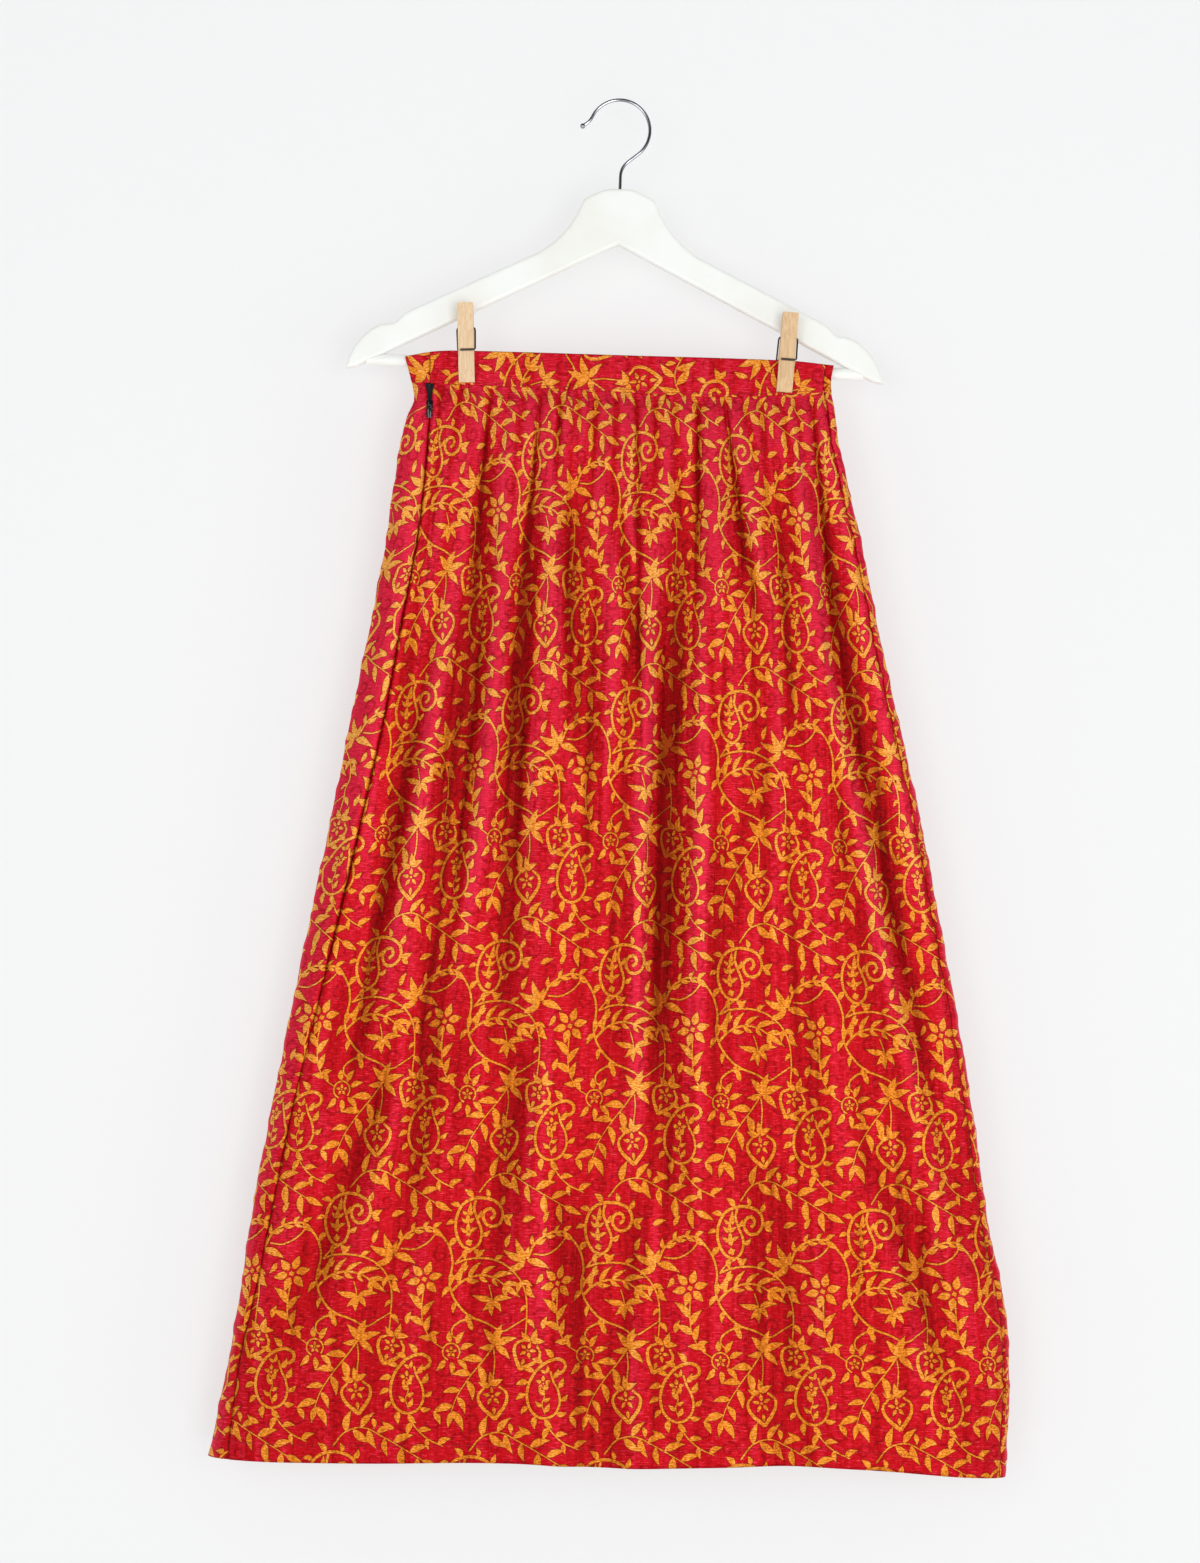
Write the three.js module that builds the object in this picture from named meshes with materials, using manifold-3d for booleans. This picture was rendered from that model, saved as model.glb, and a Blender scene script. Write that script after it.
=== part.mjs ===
// Long A-line skirt of printed silk, held by two clothes pegs on the trouser bar of a wooden hanger.
// Millimetres. +X runs along the hanger, -Y is the skirt's front and +Z is up.
// The origin is where the hook hangs, on the inside of its top.

import * as THREE from 'three';
import { mergeVertices } from 'three/addons/utils/BufferGeometryUtils.js';
import Module from 'manifold-3d';

const wasm = await Module();
wasm.setup();

// ---------------------------------------------------------------- driving dimensions

const CLEARANCE = 0.3;            // gap between two pieces that touch

const WIRE_RADIUS = 1.4;          // hook
const HOOK_RADIUS = 25.2;         // centre line of the hook's bow
const NECK_TOP = -73.1;           // top of the hanger's neck
const STEM_DEPTH = 18;            // length of the hook's stem inside the neck
const BALL_RADIUS = 2.3;          // ball at the hook's free end

const WOOD_THICKNESS = 12;
const WOOD_ROUNDING = 2.6;        // rounded edges of the arms
const BAR_RADIUS = 5;
const BAR_HALF_LENGTH = 206;
const BAR_Z = -219.8;

const WALL = 1.4;                 // cloth with its seam allowances
const BAND_HALF_DEPTH = 1.1;      // half the distance between the two halves of the waistband
const BAND_FRONT = -(BAR_RADIUS + CLEARANCE + WALL + 2 * BAND_HALF_DEPTH);
const LENS = 0.25;                // how much the skirt flattens towards its edges
const RIGHT_SEAM_INSET = 6;       // the right seam lies this far inside the right edge
const PANEL_ROWS = 20;
const ROW_CROWDING = 1.7;         // rows lie closer together near the waistband

const PEG_WIDTH = 13;
const PEG_WIRE_RADIUS = 0.75;
const PEG_TILT_ROOM = 0.45;       // extra room round the bar, because the pegs lean sideways
const PEG_COIL_RADIUS = 2.9;      // centre line of the spring's coil
const PEG_PIVOT = { y: -10.2, z: 24 };  // centre of the coil, from the bar's axis

const COLOURS = {
  silk: { color: 0xc81440, roughness: 0.55, metalness: 0 },
  zip: { color: 0x16161a, roughness: 0.5, metalness: 0 },
  zipMetal: { color: 0x101014, roughness: 0.25, metalness: 0.3 },
  paint: { color: 0xf2f4ef, roughness: 0.45, metalness: 0 },
  steel: { color: 0xc9ced2, roughness: 0.15, metalness: 1 },
  peg: { color: 0xe0bd95, roughness: 0.7, metalness: 0 },
  spring: { color: 0x5d5a58, roughness: 0.35, metalness: 1 },
};

// Sections of the flattened tube. left and right are its edges, seam is the left side seam, which has
// rolled onto the front, middle is the y of its middle plane, depth is half the distance between front
// and back, and turn is how far in from an edge the cloth begins to turn over.
const SECTIONS = [
  { z: -211, left: -173.5, right: 181.2, seam: -152.6, middle: -7.1, depth: 1.1, turn: 1.2 },
  { z: -226, left: -170.6, right: 179.5, seam: -152.4, middle: -7.1, depth: 1.1, turn: 1.2 },
  { z: -240, left: -167.7, right: 179.9, seam: -152.2, middle: -7.1, depth: 1.1, turn: 1.6 },
  { z: -256, left: -165.3, right: 183.2, seam: -151.5, middle: -6.8, depth: 2.6, turn: 5 },
  { z: -270, left: -170.9, right: 185.6, seam: -151.2, middle: -6.2, depth: 4.4, turn: 9 },
  { z: -300, left: -177.8, right: 192.7, seam: -152.5, middle: -5.0, depth: 7.4, turn: 14 },
  { z: -370, left: -186.0, right: 211.2, seam: -157.8, middle: -3.0, depth: 12.0, turn: 24 },
  { z: -440, left: -196.9, right: 227.3, seam: -169.0, middle: -1.6, depth: 15.0, turn: 32 },
  { z: -505, left: -208.6, right: 244.0, seam: -178.5, middle: -0.8, depth: 17.5, turn: 38 },
  { z: -590, left: -223.0, right: 265.8, seam: -194.7, middle: 0, depth: 20.0, turn: 44 },
  { z: -670, left: -237.3, right: 283.6, seam: -211.0, middle: 0, depth: 22.0, turn: 50 },
  { z: -760, left: -253.2, right: 303.3, seam: -230.0, middle: 0, depth: 24.0, turn: 56 },
  { z: -840, left: -266.8, right: 318.7, seam: -247.2, middle: 0, depth: 26.0, turn: 60 },
  { z: -920, left: -279.6, right: 332.4, seam: -261.0, middle: 0, depth: 27.5, turn: 62 },
  { z: -985, left: -287.3, right: 348.2, seam: -272.3, middle: 0, depth: 28.5, turn: 64 },
  { z: -1045, left: -295.7, right: 353.8, seam: -284.5, middle: 0, depth: 29.5, turn: 66 },
  { z: -1132, left: -311.2, right: 352.9, seam: -292.3, middle: 0, depth: 31.0, turn: 68 },
];

// The waistband's two edges and the hem, each as heights along x.
const BAND_TOP = [
  { x: -173, z: -217.5 },
  { x: -150, z: -212.7 },
  { x: -125, z: -211.3 },
  { x: 0, z: -211.1 },
  { x: 144, z: -211.4 },
  { x: 181, z: -214.2 },
];
const BAND_BOTTOM = [
  { x: -168, z: -238.5 },
  { x: 0, z: -241.1 },
  { x: 91, z: -243.0 },
  { x: 180, z: -236.0 },
];
const HEM = [
  { x: -311, z: -1130.5 },
  { x: -180, z: -1127.5 },
  { x: -60, z: -1123.0 },
  { x: 20, z: -1125.0 },
  { x: 160, z: -1119.5 },
  { x: 240, z: -1120.5 },
  { x: 353, z: -1128.0 },
];

// Folds of the cloth: troughs that start at x = top, z = from and run down to x = end, z = to. bow is how
// far the middle swings to the side, width is half a trough's width at its foot, and share is its depth
// as a share of the half depth of the tube there. A negative share is a ridge.
const FRONT_FOLDS = [
  { top: -100, end: -126, bow: 6, from: -243, to: -700, width: 24, share: 0.5 },
  { top: -66, end: -77, bow: 3, from: -320, to: -800, width: 22, share: 0.3 },
  { top: -26, end: -19, bow: 0, from: -290, to: -560, width: 20, share: 0.3 },
  { top: 66, end: 60, bow: -8, from: -243, to: -950, width: 28, share: 0.5 },
  { top: 96, end: 116, bow: 0, from: -243, to: -400, width: 11, share: 0.4 },
  { top: 138, end: 149, bow: 0, from: -290, to: -500, width: 20, share: 0.25 },
  { top: 162, end: 308, bow: -15, from: -243, to: -980, width: 28, share: 0.5 },
  { top: -136, end: -176, bow: 0, from: -860, to: -1190, width: 26, share: 0.2 },
  { top: -84, end: -92, bow: 0, from: -900, to: -1190, width: 24, share: 0.15 },
  { top: -40, end: -52, bow: 2, from: -620, to: -1190, width: 36, share: -0.14 },
  { top: 10, end: 22, bow: -3, from: -560, to: -1190, width: 34, share: -0.16 },
  { top: 150, end: 172, bow: 0, from: -900, to: -1190, width: 44, share: 0.28 },
  { top: 226, end: 240, bow: 0, from: -930, to: -1190, width: 26, share: 0.18 },
];
const BACK_FOLDS = [
  { top: -118, end: -171, bow: 5, from: -243, to: -760, width: 26, share: 0.45 },
  { top: -52, end: -66, bow: -4, from: -260, to: -900, width: 28, share: 0.5 },
  { top: 4, end: 12, bow: 3, from: -300, to: -620, width: 22, share: 0.3 },
  { top: 58, end: 92, bow: 6, from: -243, to: -840, width: 26, share: 0.45 },
  { top: 124, end: 236, bow: -9, from: -250, to: -930, width: 30, share: 0.5 },
  { top: -150, end: -226, bow: 0, from: -700, to: -1190, width: 34, share: 0.22 },
  { top: 24, end: 34, bow: 0, from: -800, to: -1190, width: 40, share: 0.25 },
  { top: 140, end: 152, bow: 0, from: -860, to: -1190, width: 30, share: 0.18 },
];

// The zip gapes at its head: width of the gap between the two panels at each height.
const ZIP_GAP = [
  { z: -239, width: 8.4 },
  { z: -247, width: 5.6 },
  { z: -257, width: CLEARANCE },
];
const ZIP_TAPE_FOOT = -254.2;     // lower end of the tape that shows
const ZIP_TAPE_WALL = 0.9;

// ---------------------------------------------------------------- small helpers

const lerp = (a, b, t) => a + (b - a) * t;

// Smooth value of a table's column between its rows, which are ordered along key.
function fromTable(table, key, column, at) {
  const sign = Math.sign(table[1][key] - table[0][key]);
  const last = table.length - 1;
  let i = 0;
  while (i < last - 1 && sign * (at - table[i + 1][key]) > 0) i += 1;
  const a = table[i];
  const b = table[i + 1];
  const before = table[Math.max(i - 1, 0)];
  const after = table[Math.min(i + 2, last)];
  const span = b[key] - a[key];
  const t = THREE.MathUtils.clamp((at - a[key]) / span, 0, 1);
  const slopeA = (b[column] - before[column]) / (b[key] - before[key]) * span;
  const slopeB = (after[column] - a[column]) / (after[key] - a[key]) * span;
  const t2 = t * t;
  const t3 = t2 * t;
  return (2 * t3 - 3 * t2 + 1) * a[column] + (t3 - 2 * t2 + t) * slopeA
    + (3 * t2 - 2 * t3) * b[column] + (t3 - t2) * slopeB;
}

// Straight-line value between a table's rows.
function linear(table, key, column, at) {
  const last = table.length - 1;
  const sign = Math.sign(table[1][key] - table[0][key]);
  let i = 0;
  while (i < last - 1 && sign * (at - table[i + 1][key]) > 0) i += 1;
  const t = THREE.MathUtils.clamp((at - table[i][key]) / (table[i + 1][key] - table[i][key]), 0, 1);
  return lerp(table[i][column], table[i + 1][column], t);
}

function toManifold(geometry) {
  const bare = geometry.clone();
  bare.deleteAttribute('normal');
  bare.deleteAttribute('uv');
  const merged = mergeVertices(bare, 1e-4);
  const mesh = new wasm.Mesh({
    numProp: 3,
    vertProperties: new Float32Array(merged.attributes.position.array),
    triVerts: new Uint32Array(merged.index.array),
  });
  return new wasm.Manifold(mesh);
}

function fromManifold(solid) {
  const mesh = solid.getMesh();
  const geometry = new THREE.BufferGeometry();
  geometry.setAttribute('position', new THREE.BufferAttribute(mesh.vertProperties, 3));
  geometry.setIndex(new THREE.BufferAttribute(mesh.triVerts, 1));
  geometry.computeVertexNormals();
  return geometry;
}

// Extrudes a shape drawn in (y, z) along x, centred on x = 0.
function extrudeAlongX(shape, width, options = {}) {
  const geometry = new THREE.ExtrudeGeometry(shape, { depth: width, bevelEnabled: false, ...options });
  geometry.translate(0, 0, -width / 2);
  const axes = new THREE.Matrix4().makeBasis(
    new THREE.Vector3(0, 1, 0), new THREE.Vector3(0, 0, 1), new THREE.Vector3(1, 0, 0));
  return geometry.applyMatrix4(axes);
}

// Curve through corner points with each corner rounded.
function roundedPath(points, radius) {
  const path = new THREE.CurvePath();
  let start = points[0];
  for (let i = 1; i < points.length - 1; i += 1) {
    const corner = points[i];
    const inward = corner.clone().sub(points[i - 1]).setLength(radius);
    const outward = points[i + 1].clone().sub(corner).setLength(radius);
    const before = corner.clone().sub(inward);
    const after = corner.clone().add(outward);
    path.add(new THREE.LineCurve3(start, before));
    path.add(new THREE.QuadraticBezierCurve3(before, corner, after));
    start = after;
  }
  path.add(new THREE.LineCurve3(start, points[points.length - 1]));
  return path;
}

function wireAlong(path, radius, steps, sides) {
  const section = new THREE.Shape();
  section.absarc(0, 0, radius, 0, Math.PI * 2);
  const options = { steps, extrudePath: path, curveSegments: sides, bevelEnabled: false };
  return new THREE.ExtrudeGeometry(section, options);
}

// ---------------------------------------------------------------- cloth

function sectionAt(z) {
  const section = { z };
  for (const column of ['left', 'right', 'seam', 'middle', 'depth', 'turn']) {
    section[column] = fromTable(SECTIONS, 'z', column, z);
  }
  section.left += WALL / 2;
  section.right -= WALL / 2;
  return section;
}

const FOLD_TOP_WIDTH = 0.55;      // a fold's width where it starts, as a share of its width at its foot
const FOLD_PEAK = 0.6;            // below 1, a fold is deepest above its middle

// Depth of all folds of one face at x, as a share of the tube's half depth.
function foldShare(folds, x, z) {
  let total = 0;
  for (const fold of folds) {
    const along = (fold.from - z) / (fold.from - fold.to);
    if (along > 0 && along < 1) {
      const line = lerp(fold.top, fold.end, along) + fold.bow * 4 * along * (1 - along);
      const width = fold.width * lerp(FOLD_TOP_WIDTH, 1, Math.sqrt(along));
      const strength = Math.sin(Math.PI * Math.pow(along, FOLD_PEAK));
      total += fold.share * strength * Math.exp(-(((x - line) / width) ** 2));
    }
  }
  return total;
}

// Distance of the front (or back) of the tube from its middle plane.
function faceDepth(section, x, folds) {
  const inset = Math.min(x - section.left, section.right - x);
  const turned = THREE.MathUtils.clamp(1 - inset / section.turn, 0, 1);
  const across = (2 * x - section.left - section.right) / (section.right - section.left);
  const bulge = (section.depth - BAND_HALF_DEPTH) * (1 - LENS * across * across);
  const smooth = Math.sqrt(1 - turned * turned);
  const folded = bulge * foldShare(folds, x, section.z) * smooth;
  return (BAND_HALF_DEPTH + bulge - folded) * smooth;
}

// Middle line of the cloth at one height, from the left edge over the front to the right edge and back
// over the back, with points crowded where it turns over at the edges.
const FACE_STEPS = 90;
const TURN_STEPS = 14;

function ringAt(z) {
  const section = sectionAt(z);
  const insets = [];
  for (let i = 0; i <= TURN_STEPS; i += 1) {
    insets.push(section.turn * (1 - Math.cos((Math.PI / 2) * (i / TURN_STEPS))));
  }
  const xs = insets.map((inset) => section.left + inset);
  const span = section.right - section.left - 2 * section.turn;
  for (let i = 1; i < FACE_STEPS; i += 1) xs.push(section.left + section.turn + span * (i / FACE_STEPS));
  insets.slice().reverse().forEach((inset) => xs.push(section.right - inset));
  const front = xs.map((x) => new THREE.Vector2(x, section.middle - faceDepth(section, x, FRONT_FOLDS)));
  const back = xs.map((x) => new THREE.Vector2(x, section.middle + faceDepth(section, x, BACK_FOLDS)));
  back.reverse();
  const points = [...front, ...back.slice(1)];
  const lengths = [0];
  for (let i = 1; i < points.length; i += 1) {
    lengths.push(lengths[i - 1] + points[i].distanceTo(points[i - 1]));
  }
  return { section, points, lengths, frontCount: front.length };
}

// Length along the ring, measured from the left edge over the front, where the front crosses x.
function lengthAtFront(ring, x) {
  let i = 1;
  while (i < ring.frontCount - 1 && ring.points[i].x < x) i += 1;
  const a = ring.points[i - 1];
  const b = ring.points[i];
  return lerp(ring.lengths[i - 1], ring.lengths[i], (x - a.x) / (b.x - a.x));
}

function pointAlong(ring, length) {
  const whole = ring.lengths[ring.lengths.length - 1];
  const wrapped = ((length % whole) + whole) % whole;
  let i = 1;
  while (ring.lengths[i] < wrapped) i += 1;
  const t = (wrapped - ring.lengths[i - 1]) / (ring.lengths[i] - ring.lengths[i - 1]);
  const point = ring.points[i - 1].clone().lerp(ring.points[i], t);
  const ahead = ring.points[i].clone().sub(ring.points[i - 1]).normalize();
  return { point, outward: new THREE.Vector2(ahead.y, -ahead.x) };
}

// Evenly spaced shares of a length, or shares crowded at both of its ends.
function shares(count, crowding = 0) {
  return Array.from({ length: count + 1 }, (_, i) => {
    const even = i / count;
    return lerp(even, (1 - Math.cos(Math.PI * even)) / 2, crowding);
  });
}

// A closed wall from a grid of points of the cloth's middle surface, each with its outward direction.
function wallSolid(rows, thickness) {
  const positions = [];
  const index = [];
  const rowCount = rows.length;
  const columnCount = rows[0].length;
  for (const side of [0.5, -0.5]) {
    for (const row of rows) {
      for (const { point, outward, z } of row) {
        positions.push(point.x + outward.x * side * thickness, point.y + outward.y * side * thickness, z);
      }
    }
  }
  const at = (side, row, column) => (side * rowCount + row) * columnCount + column;
  const quad = (a, b, c, d) => index.push(a, b, c, a, c, d);
  for (let r = 0; r < rowCount - 1; r += 1) {
    for (let c = 0; c < columnCount - 1; c += 1) {
      quad(at(0, r, c), at(0, r + 1, c), at(0, r + 1, c + 1), at(0, r, c + 1));
      quad(at(1, r, c), at(1, r, c + 1), at(1, r + 1, c + 1), at(1, r + 1, c));
    }
    quad(at(0, r, 0), at(1, r, 0), at(1, r + 1, 0), at(0, r + 1, 0));
    const e = columnCount - 1;
    quad(at(0, r, e), at(0, r + 1, e), at(1, r + 1, e), at(1, r, e));
  }
  const f = rowCount - 1;
  for (let c = 0; c < columnCount - 1; c += 1) {
    quad(at(0, 0, c), at(0, 0, c + 1), at(1, 0, c + 1), at(1, 0, c));
    quad(at(0, f, c), at(1, f, c), at(1, f, c + 1), at(0, f, c + 1));
  }
  const geometry = new THREE.BufferGeometry();
  geometry.setAttribute('position', new THREE.Float32BufferAttribute(positions, 3));
  geometry.setIndex(index);
  geometry.computeVertexNormals();
  return geometry;
}

const zipGap = (z) => linear(ZIP_GAP, 'z', 'width', z);

// The ends of each piece of cloth along a ring. The front piece runs from the left seam to the right one,
// the back piece from the right seam round behind and past the left edge to the left seam.
function frontSpan(ring, gap) {
  const leftSeam = ring.section.seam + gap / 2;
  const rightSeam = ring.section.right - RIGHT_SEAM_INSET;
  return [lengthAtFront(ring, leftSeam), lengthAtFront(ring, rightSeam) - CLEARANCE / 2];
}

function backSpan(ring, gap) {
  const whole = ring.lengths[ring.lengths.length - 1];
  const rightSeam = ring.section.right - RIGHT_SEAM_INSET;
  const leftSeam = ring.section.seam - gap / 2;
  return [lengthAtFront(ring, rightSeam) + CLEARANCE / 2, whole + lengthAtFront(ring, leftSeam)];
}

// One row of a piece. heightAt gives the true height at x of what is nominally at z.
function clothRow(z, gap, span, columnShares, heightAt) {
  const ring = ringAt(z);
  const [from, to] = span(ring, gap);
  return columnShares.map((share) => {
    const { point, outward } = pointAlong(ring, lerp(from, to, share));
    return { point, outward, z: heightAt(point.x) };
  });
}

const FRONT_COLUMNS = shares(34);
const BACK_COLUMNS = shares(44, 0.6);
const PANEL_TOP = BAND_BOTTOM[1].z;
const PANEL_FOOT = HEM[3].z;

// A row of the skirt's cloth a given share of the way down from the waistband to the hem.
function skirtRow(down, gap, span, columns) {
  const z = lerp(PANEL_TOP, PANEL_FOOT, down);
  const topShift = (x) => fromTable(BAND_BOTTOM, 'x', 'z', x) - CLEARANCE - PANEL_TOP;
  const footShift = (x) => fromTable(HEM, 'x', 'z', x) - PANEL_FOOT;
  return clothRow(z, gap(z), span, columns, (x) => z + lerp(topShift(x), footShift(x), down));
}

function panel(span, columns) {
  const downs = shares(PANEL_ROWS).map((share) => Math.pow(share, ROW_CROWDING));
  return wallSolid(downs.map((down) => skirtRow(down, zipGap, span, columns)), WALL);
}

function band(span, columns) {
  const rows = shares(2).map((down) => {
    const top = (x) => fromTable(BAND_TOP, 'x', 'z', x);
    const bottom = (x) => fromTable(BAND_BOTTOM, 'x', 'z', x);
    const z = lerp(BAND_TOP[3].z, BAND_BOTTOM[1].z, down);
    return clothRow(z, CLEARANCE, span, columns, (x) => lerp(top(x), bottom(x), down));
  });
  return wallSolid(rows, WALL);
}

// The tape fills the gape between the two panels.
function zipTape() {
  const tapeWidth = (z) => zipGap(z) - 2 * CLEARANCE;
  const span = (ring, width) => {
    const { seam } = ring.section;
    return [lengthAtFront(ring, seam - width / 2), lengthAtFront(ring, seam + width / 2)];
  };
  const foot = (PANEL_TOP - ZIP_TAPE_FOOT) / (PANEL_TOP - PANEL_FOOT);
  const rows = shares(2).map((share) => skirtRow(share * foot, tapeWidth, span, shares(3)));
  return wallSolid(rows, ZIP_TAPE_WALL);
}

// ---------------------------------------------------------------- zip slider and its pull tab

// The slider stands off the cloth by standOff at its middle, because the cloth bulges below it.
const SLIDER = { z: -257.2, width: 5.2, height: 7.4, thickness: 1.3, standOff: 0.8 };
const BRIDGE = { outer: 1.75, inner: 0.95, width: 1.2 };    // ring that the tab hangs in
const AXLE_STANDOFF = 1.5;                                 // axle's distance from the slider's face
const TAB = { length: 11.2, width: 5, thickness: 0.9, neck: 3.4, bar: 0.45, waist: 3 };
const EYE = { width: 2.1, depth: 2.7 };                    // opening of the tab round the bridge

// Front surface of the cloth at the slider, where the seam runs.
function sliderSeat() {
  const section = sectionAt(SLIDER.z);
  const y = section.middle - faceDepth(section, section.seam, FRONT_FOLDS) - WALL / 2;
  return new THREE.Vector3(section.seam, y - SLIDER.standOff, SLIDER.z);
}

// In the slider's own frame y = 0 is its back face, and the axle lies at y = AXLE_Y.
const AXLE_Y = -(SLIDER.thickness + AXLE_STANDOFF);

function zipSlider() {
  const plate = new THREE.BoxGeometry(SLIDER.width, SLIDER.thickness, SLIDER.height);
  plate.translate(0, -SLIDER.thickness / 2, 0);
  const bridge = new THREE.Shape();
  bridge.moveTo(-SLIDER.thickness / 2, BRIDGE.outer);
  bridge.lineTo(AXLE_Y, BRIDGE.outer);
  bridge.absarc(AXLE_Y, 0, BRIDGE.outer, Math.PI / 2, Math.PI * 1.5, false);
  bridge.lineTo(-SLIDER.thickness / 2, -BRIDGE.outer);
  bridge.closePath();
  const hole = new THREE.Path();
  hole.absarc(AXLE_Y, 0, BRIDGE.inner, 0, Math.PI * 2, true);
  bridge.holes.push(hole);
  const bridgeGeometry = extrudeAlongX(bridge, BRIDGE.width, { curveSegments: 8 });
  return fromManifold(toManifold(plate).add(toManifold(bridgeGeometry)));
}

// Teardrop plate hanging from z = 0 at the axle, with an eye that the slider's bridge passes through.
function zipPullTab() {
  const shape = new THREE.Shape();
  const top = TAB.bar;
  const widest = -(TAB.length - TAB.width / 2);
  shape.moveTo(-TAB.neck / 2, top);
  shape.bezierCurveTo(-TAB.neck / 2, -TAB.waist, -TAB.width / 2, widest + TAB.waist, -TAB.width / 2, widest);
  shape.absarc(0, widest, TAB.width / 2, Math.PI, Math.PI * 2, false);
  shape.bezierCurveTo(TAB.width / 2, widest + TAB.waist, TAB.neck / 2, -TAB.waist, TAB.neck / 2, top);
  shape.closePath();
  const eye = new THREE.Path();
  eye.moveTo(-EYE.width / 2, -TAB.bar);
  eye.lineTo(EYE.width / 2, -TAB.bar);
  eye.lineTo(EYE.width / 2, -EYE.depth);
  eye.lineTo(-EYE.width / 2, -EYE.depth);
  eye.closePath();
  shape.holes.push(eye);
  const options = { depth: TAB.thickness, bevelEnabled: false, curveSegments: 8 };
  const geometry = new THREE.ExtrudeGeometry(shape, options);
  geometry.translate(0, 0, -TAB.thickness / 2);
  return geometry.rotateX(Math.PI / 2);
}

// ---------------------------------------------------------------- hanger

// Right half of the hanger's outline in (x, z) from the top of the neck: each step is a way of drawing,
// its control points and its end.
const HALF_OUTLINE = [
  ['lineTo', 8, 0.0],
  ['quadraticCurveTo', 20, -2.6, 29.8, -9.7],
  ['bezierCurveTo', 33, -18, 40, -38, 64.3, -53.6],
  ['quadraticCurveTo', 72, -57.6, 95.5, -68.8],
  ['lineTo', 168, -104.2],
  ['quadraticCurveTo', 174, -107, 178.3, -111.6],
  ['quadraticCurveTo', 183.5, -117.6, 188.5, -116.4],
  ['bezierCurveTo', 202, -117, 219, -134, 222.3, -154.5],
  ['lineTo', 213, -152.8],
];
const CROTCH = -46;               // where the arms' lower edges meet

// The outline runs down the right half, across the crotch, and back up the mirrored left half.
function hangerOutline() {
  const shape = new THREE.Shape();
  shape.moveTo(0, 0);
  HALF_OUTLINE.forEach(([draw, ...at]) => shape[draw](...at));
  shape.lineTo(0, CROTCH);
  const ends = [[0, 0], ...HALF_OUTLINE.map((step) => step.slice(-2))];
  const [footX, footZ] = ends[ends.length - 1];
  shape.lineTo(-footX, footZ);
  for (let i = HALF_OUTLINE.length - 1; i >= 0; i -= 1) {
    const [draw, ...at] = HALF_OUTLINE[i];
    const points = [];
    for (let k = at.length - 4; k >= 0; k -= 2) points.push(-at[k], at[k + 1]);
    shape[draw](...points, -ends[i][0], ends[i][1]);
  }
  return shape;
}

const BAR_SIDES = 24;
const BAR_HOLE_LENGTH = 60;       // longer than the arm is wide, so the hole opens on its inner side

function cylinderAlongX(radius, length, sides) {
  return new THREE.CylinderGeometry(radius, radius, length, sides).rotateZ(Math.PI / 2);
}

function hangerWood() {
  const flat = WOOD_THICKNESS - 2 * WOOD_ROUNDING;
  const geometry = new THREE.ExtrudeGeometry(hangerOutline(), {
    depth: flat,
    curveSegments: 6,
    bevelThickness: WOOD_ROUNDING,
    bevelSize: WOOD_ROUNDING,
    bevelOffset: -WOOD_ROUNDING,
    bevelSegments: 3,
  });
  geometry.translate(0, 0, -flat / 2);
  geometry.rotateX(Math.PI / 2);
  geometry.translate(0, 0, NECK_TOP);
  const stemRoom = WIRE_RADIUS + CLEARANCE;
  const stemHole = new THREE.CylinderGeometry(stemRoom, stemRoom, 2 * STEM_DEPTH, 16);
  stemHole.rotateX(Math.PI / 2).translate(0, 0, NECK_TOP - CLEARANCE);
  let solid = toManifold(geometry).subtract(toManifold(stemHole));
  for (const side of [-1, 1]) {
    const hole = cylinderAlongX(BAR_RADIUS + CLEARANCE, BAR_HOLE_LENGTH, BAR_SIDES);
    hole.translate(side * (BAR_HALF_LENGTH + CLEARANCE - BAR_HOLE_LENGTH / 2), 0, BAR_Z);
    solid = solid.subtract(toManifold(hole));
  }
  return fromManifold(solid);
}

function trouserBar() {
  return cylinderAlongX(BAR_RADIUS, 2 * BAR_HALF_LENGTH, BAR_SIDES);
}

// Hook: stem, bend, straight stretch, bow, and a free end that turns outward to a ball.
const BOW_CENTRE_X = -1.9;        // the bow leans a little towards its open side
const BOW_FROM = THREE.MathUtils.degToRad(-46);
const BOW_TO = THREE.MathUtils.degToRad(148);
const HOOK_BEND = { x: 0, up: 18.6, rounding: 8 };        // heights are from the top of the neck
const HOOK_LIP = { x: -26.6, up: 56.2, rounding: 3 };
const HOOK_BALL = { x: -32.4, up: 52 };

class Bow extends THREE.Curve {
  getPoint(t, target = new THREE.Vector3()) {
    const angle = lerp(BOW_FROM, BOW_TO, t);
    const centreZ = WIRE_RADIUS - HOOK_RADIUS;
    const x = BOW_CENTRE_X + HOOK_RADIUS * Math.cos(angle);
    return target.set(x, 0, centreZ + HOOK_RADIUS * Math.sin(angle));
  }
}

function hook() {
  const above = ({ x, up }) => new THREE.Vector3(x, 0, NECK_TOP + up);
  const stemFoot = above({ x: 0, up: CLEARANCE - STEM_DEPTH });
  const bow = new Bow();
  const ball = above(HOOK_BALL);
  const path = roundedPath([stemFoot, above(HOOK_BEND), bow.getPoint(0)], HOOK_BEND.rounding);
  path.add(bow);
  path.curves.push(...roundedPath([bow.getPoint(1), above(HOOK_LIP), ball], HOOK_LIP.rounding).curves);
  const wire = wireAlong(path, WIRE_RADIUS, 72, 5);
  const end = new THREE.SphereGeometry(BALL_RADIUS, 12, 8).translate(ball.x, ball.y, ball.z);
  return fromManifold(toManifold(wire).add(toManifold(end)));
}

// ---------------------------------------------------------------- clothes pegs

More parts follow.
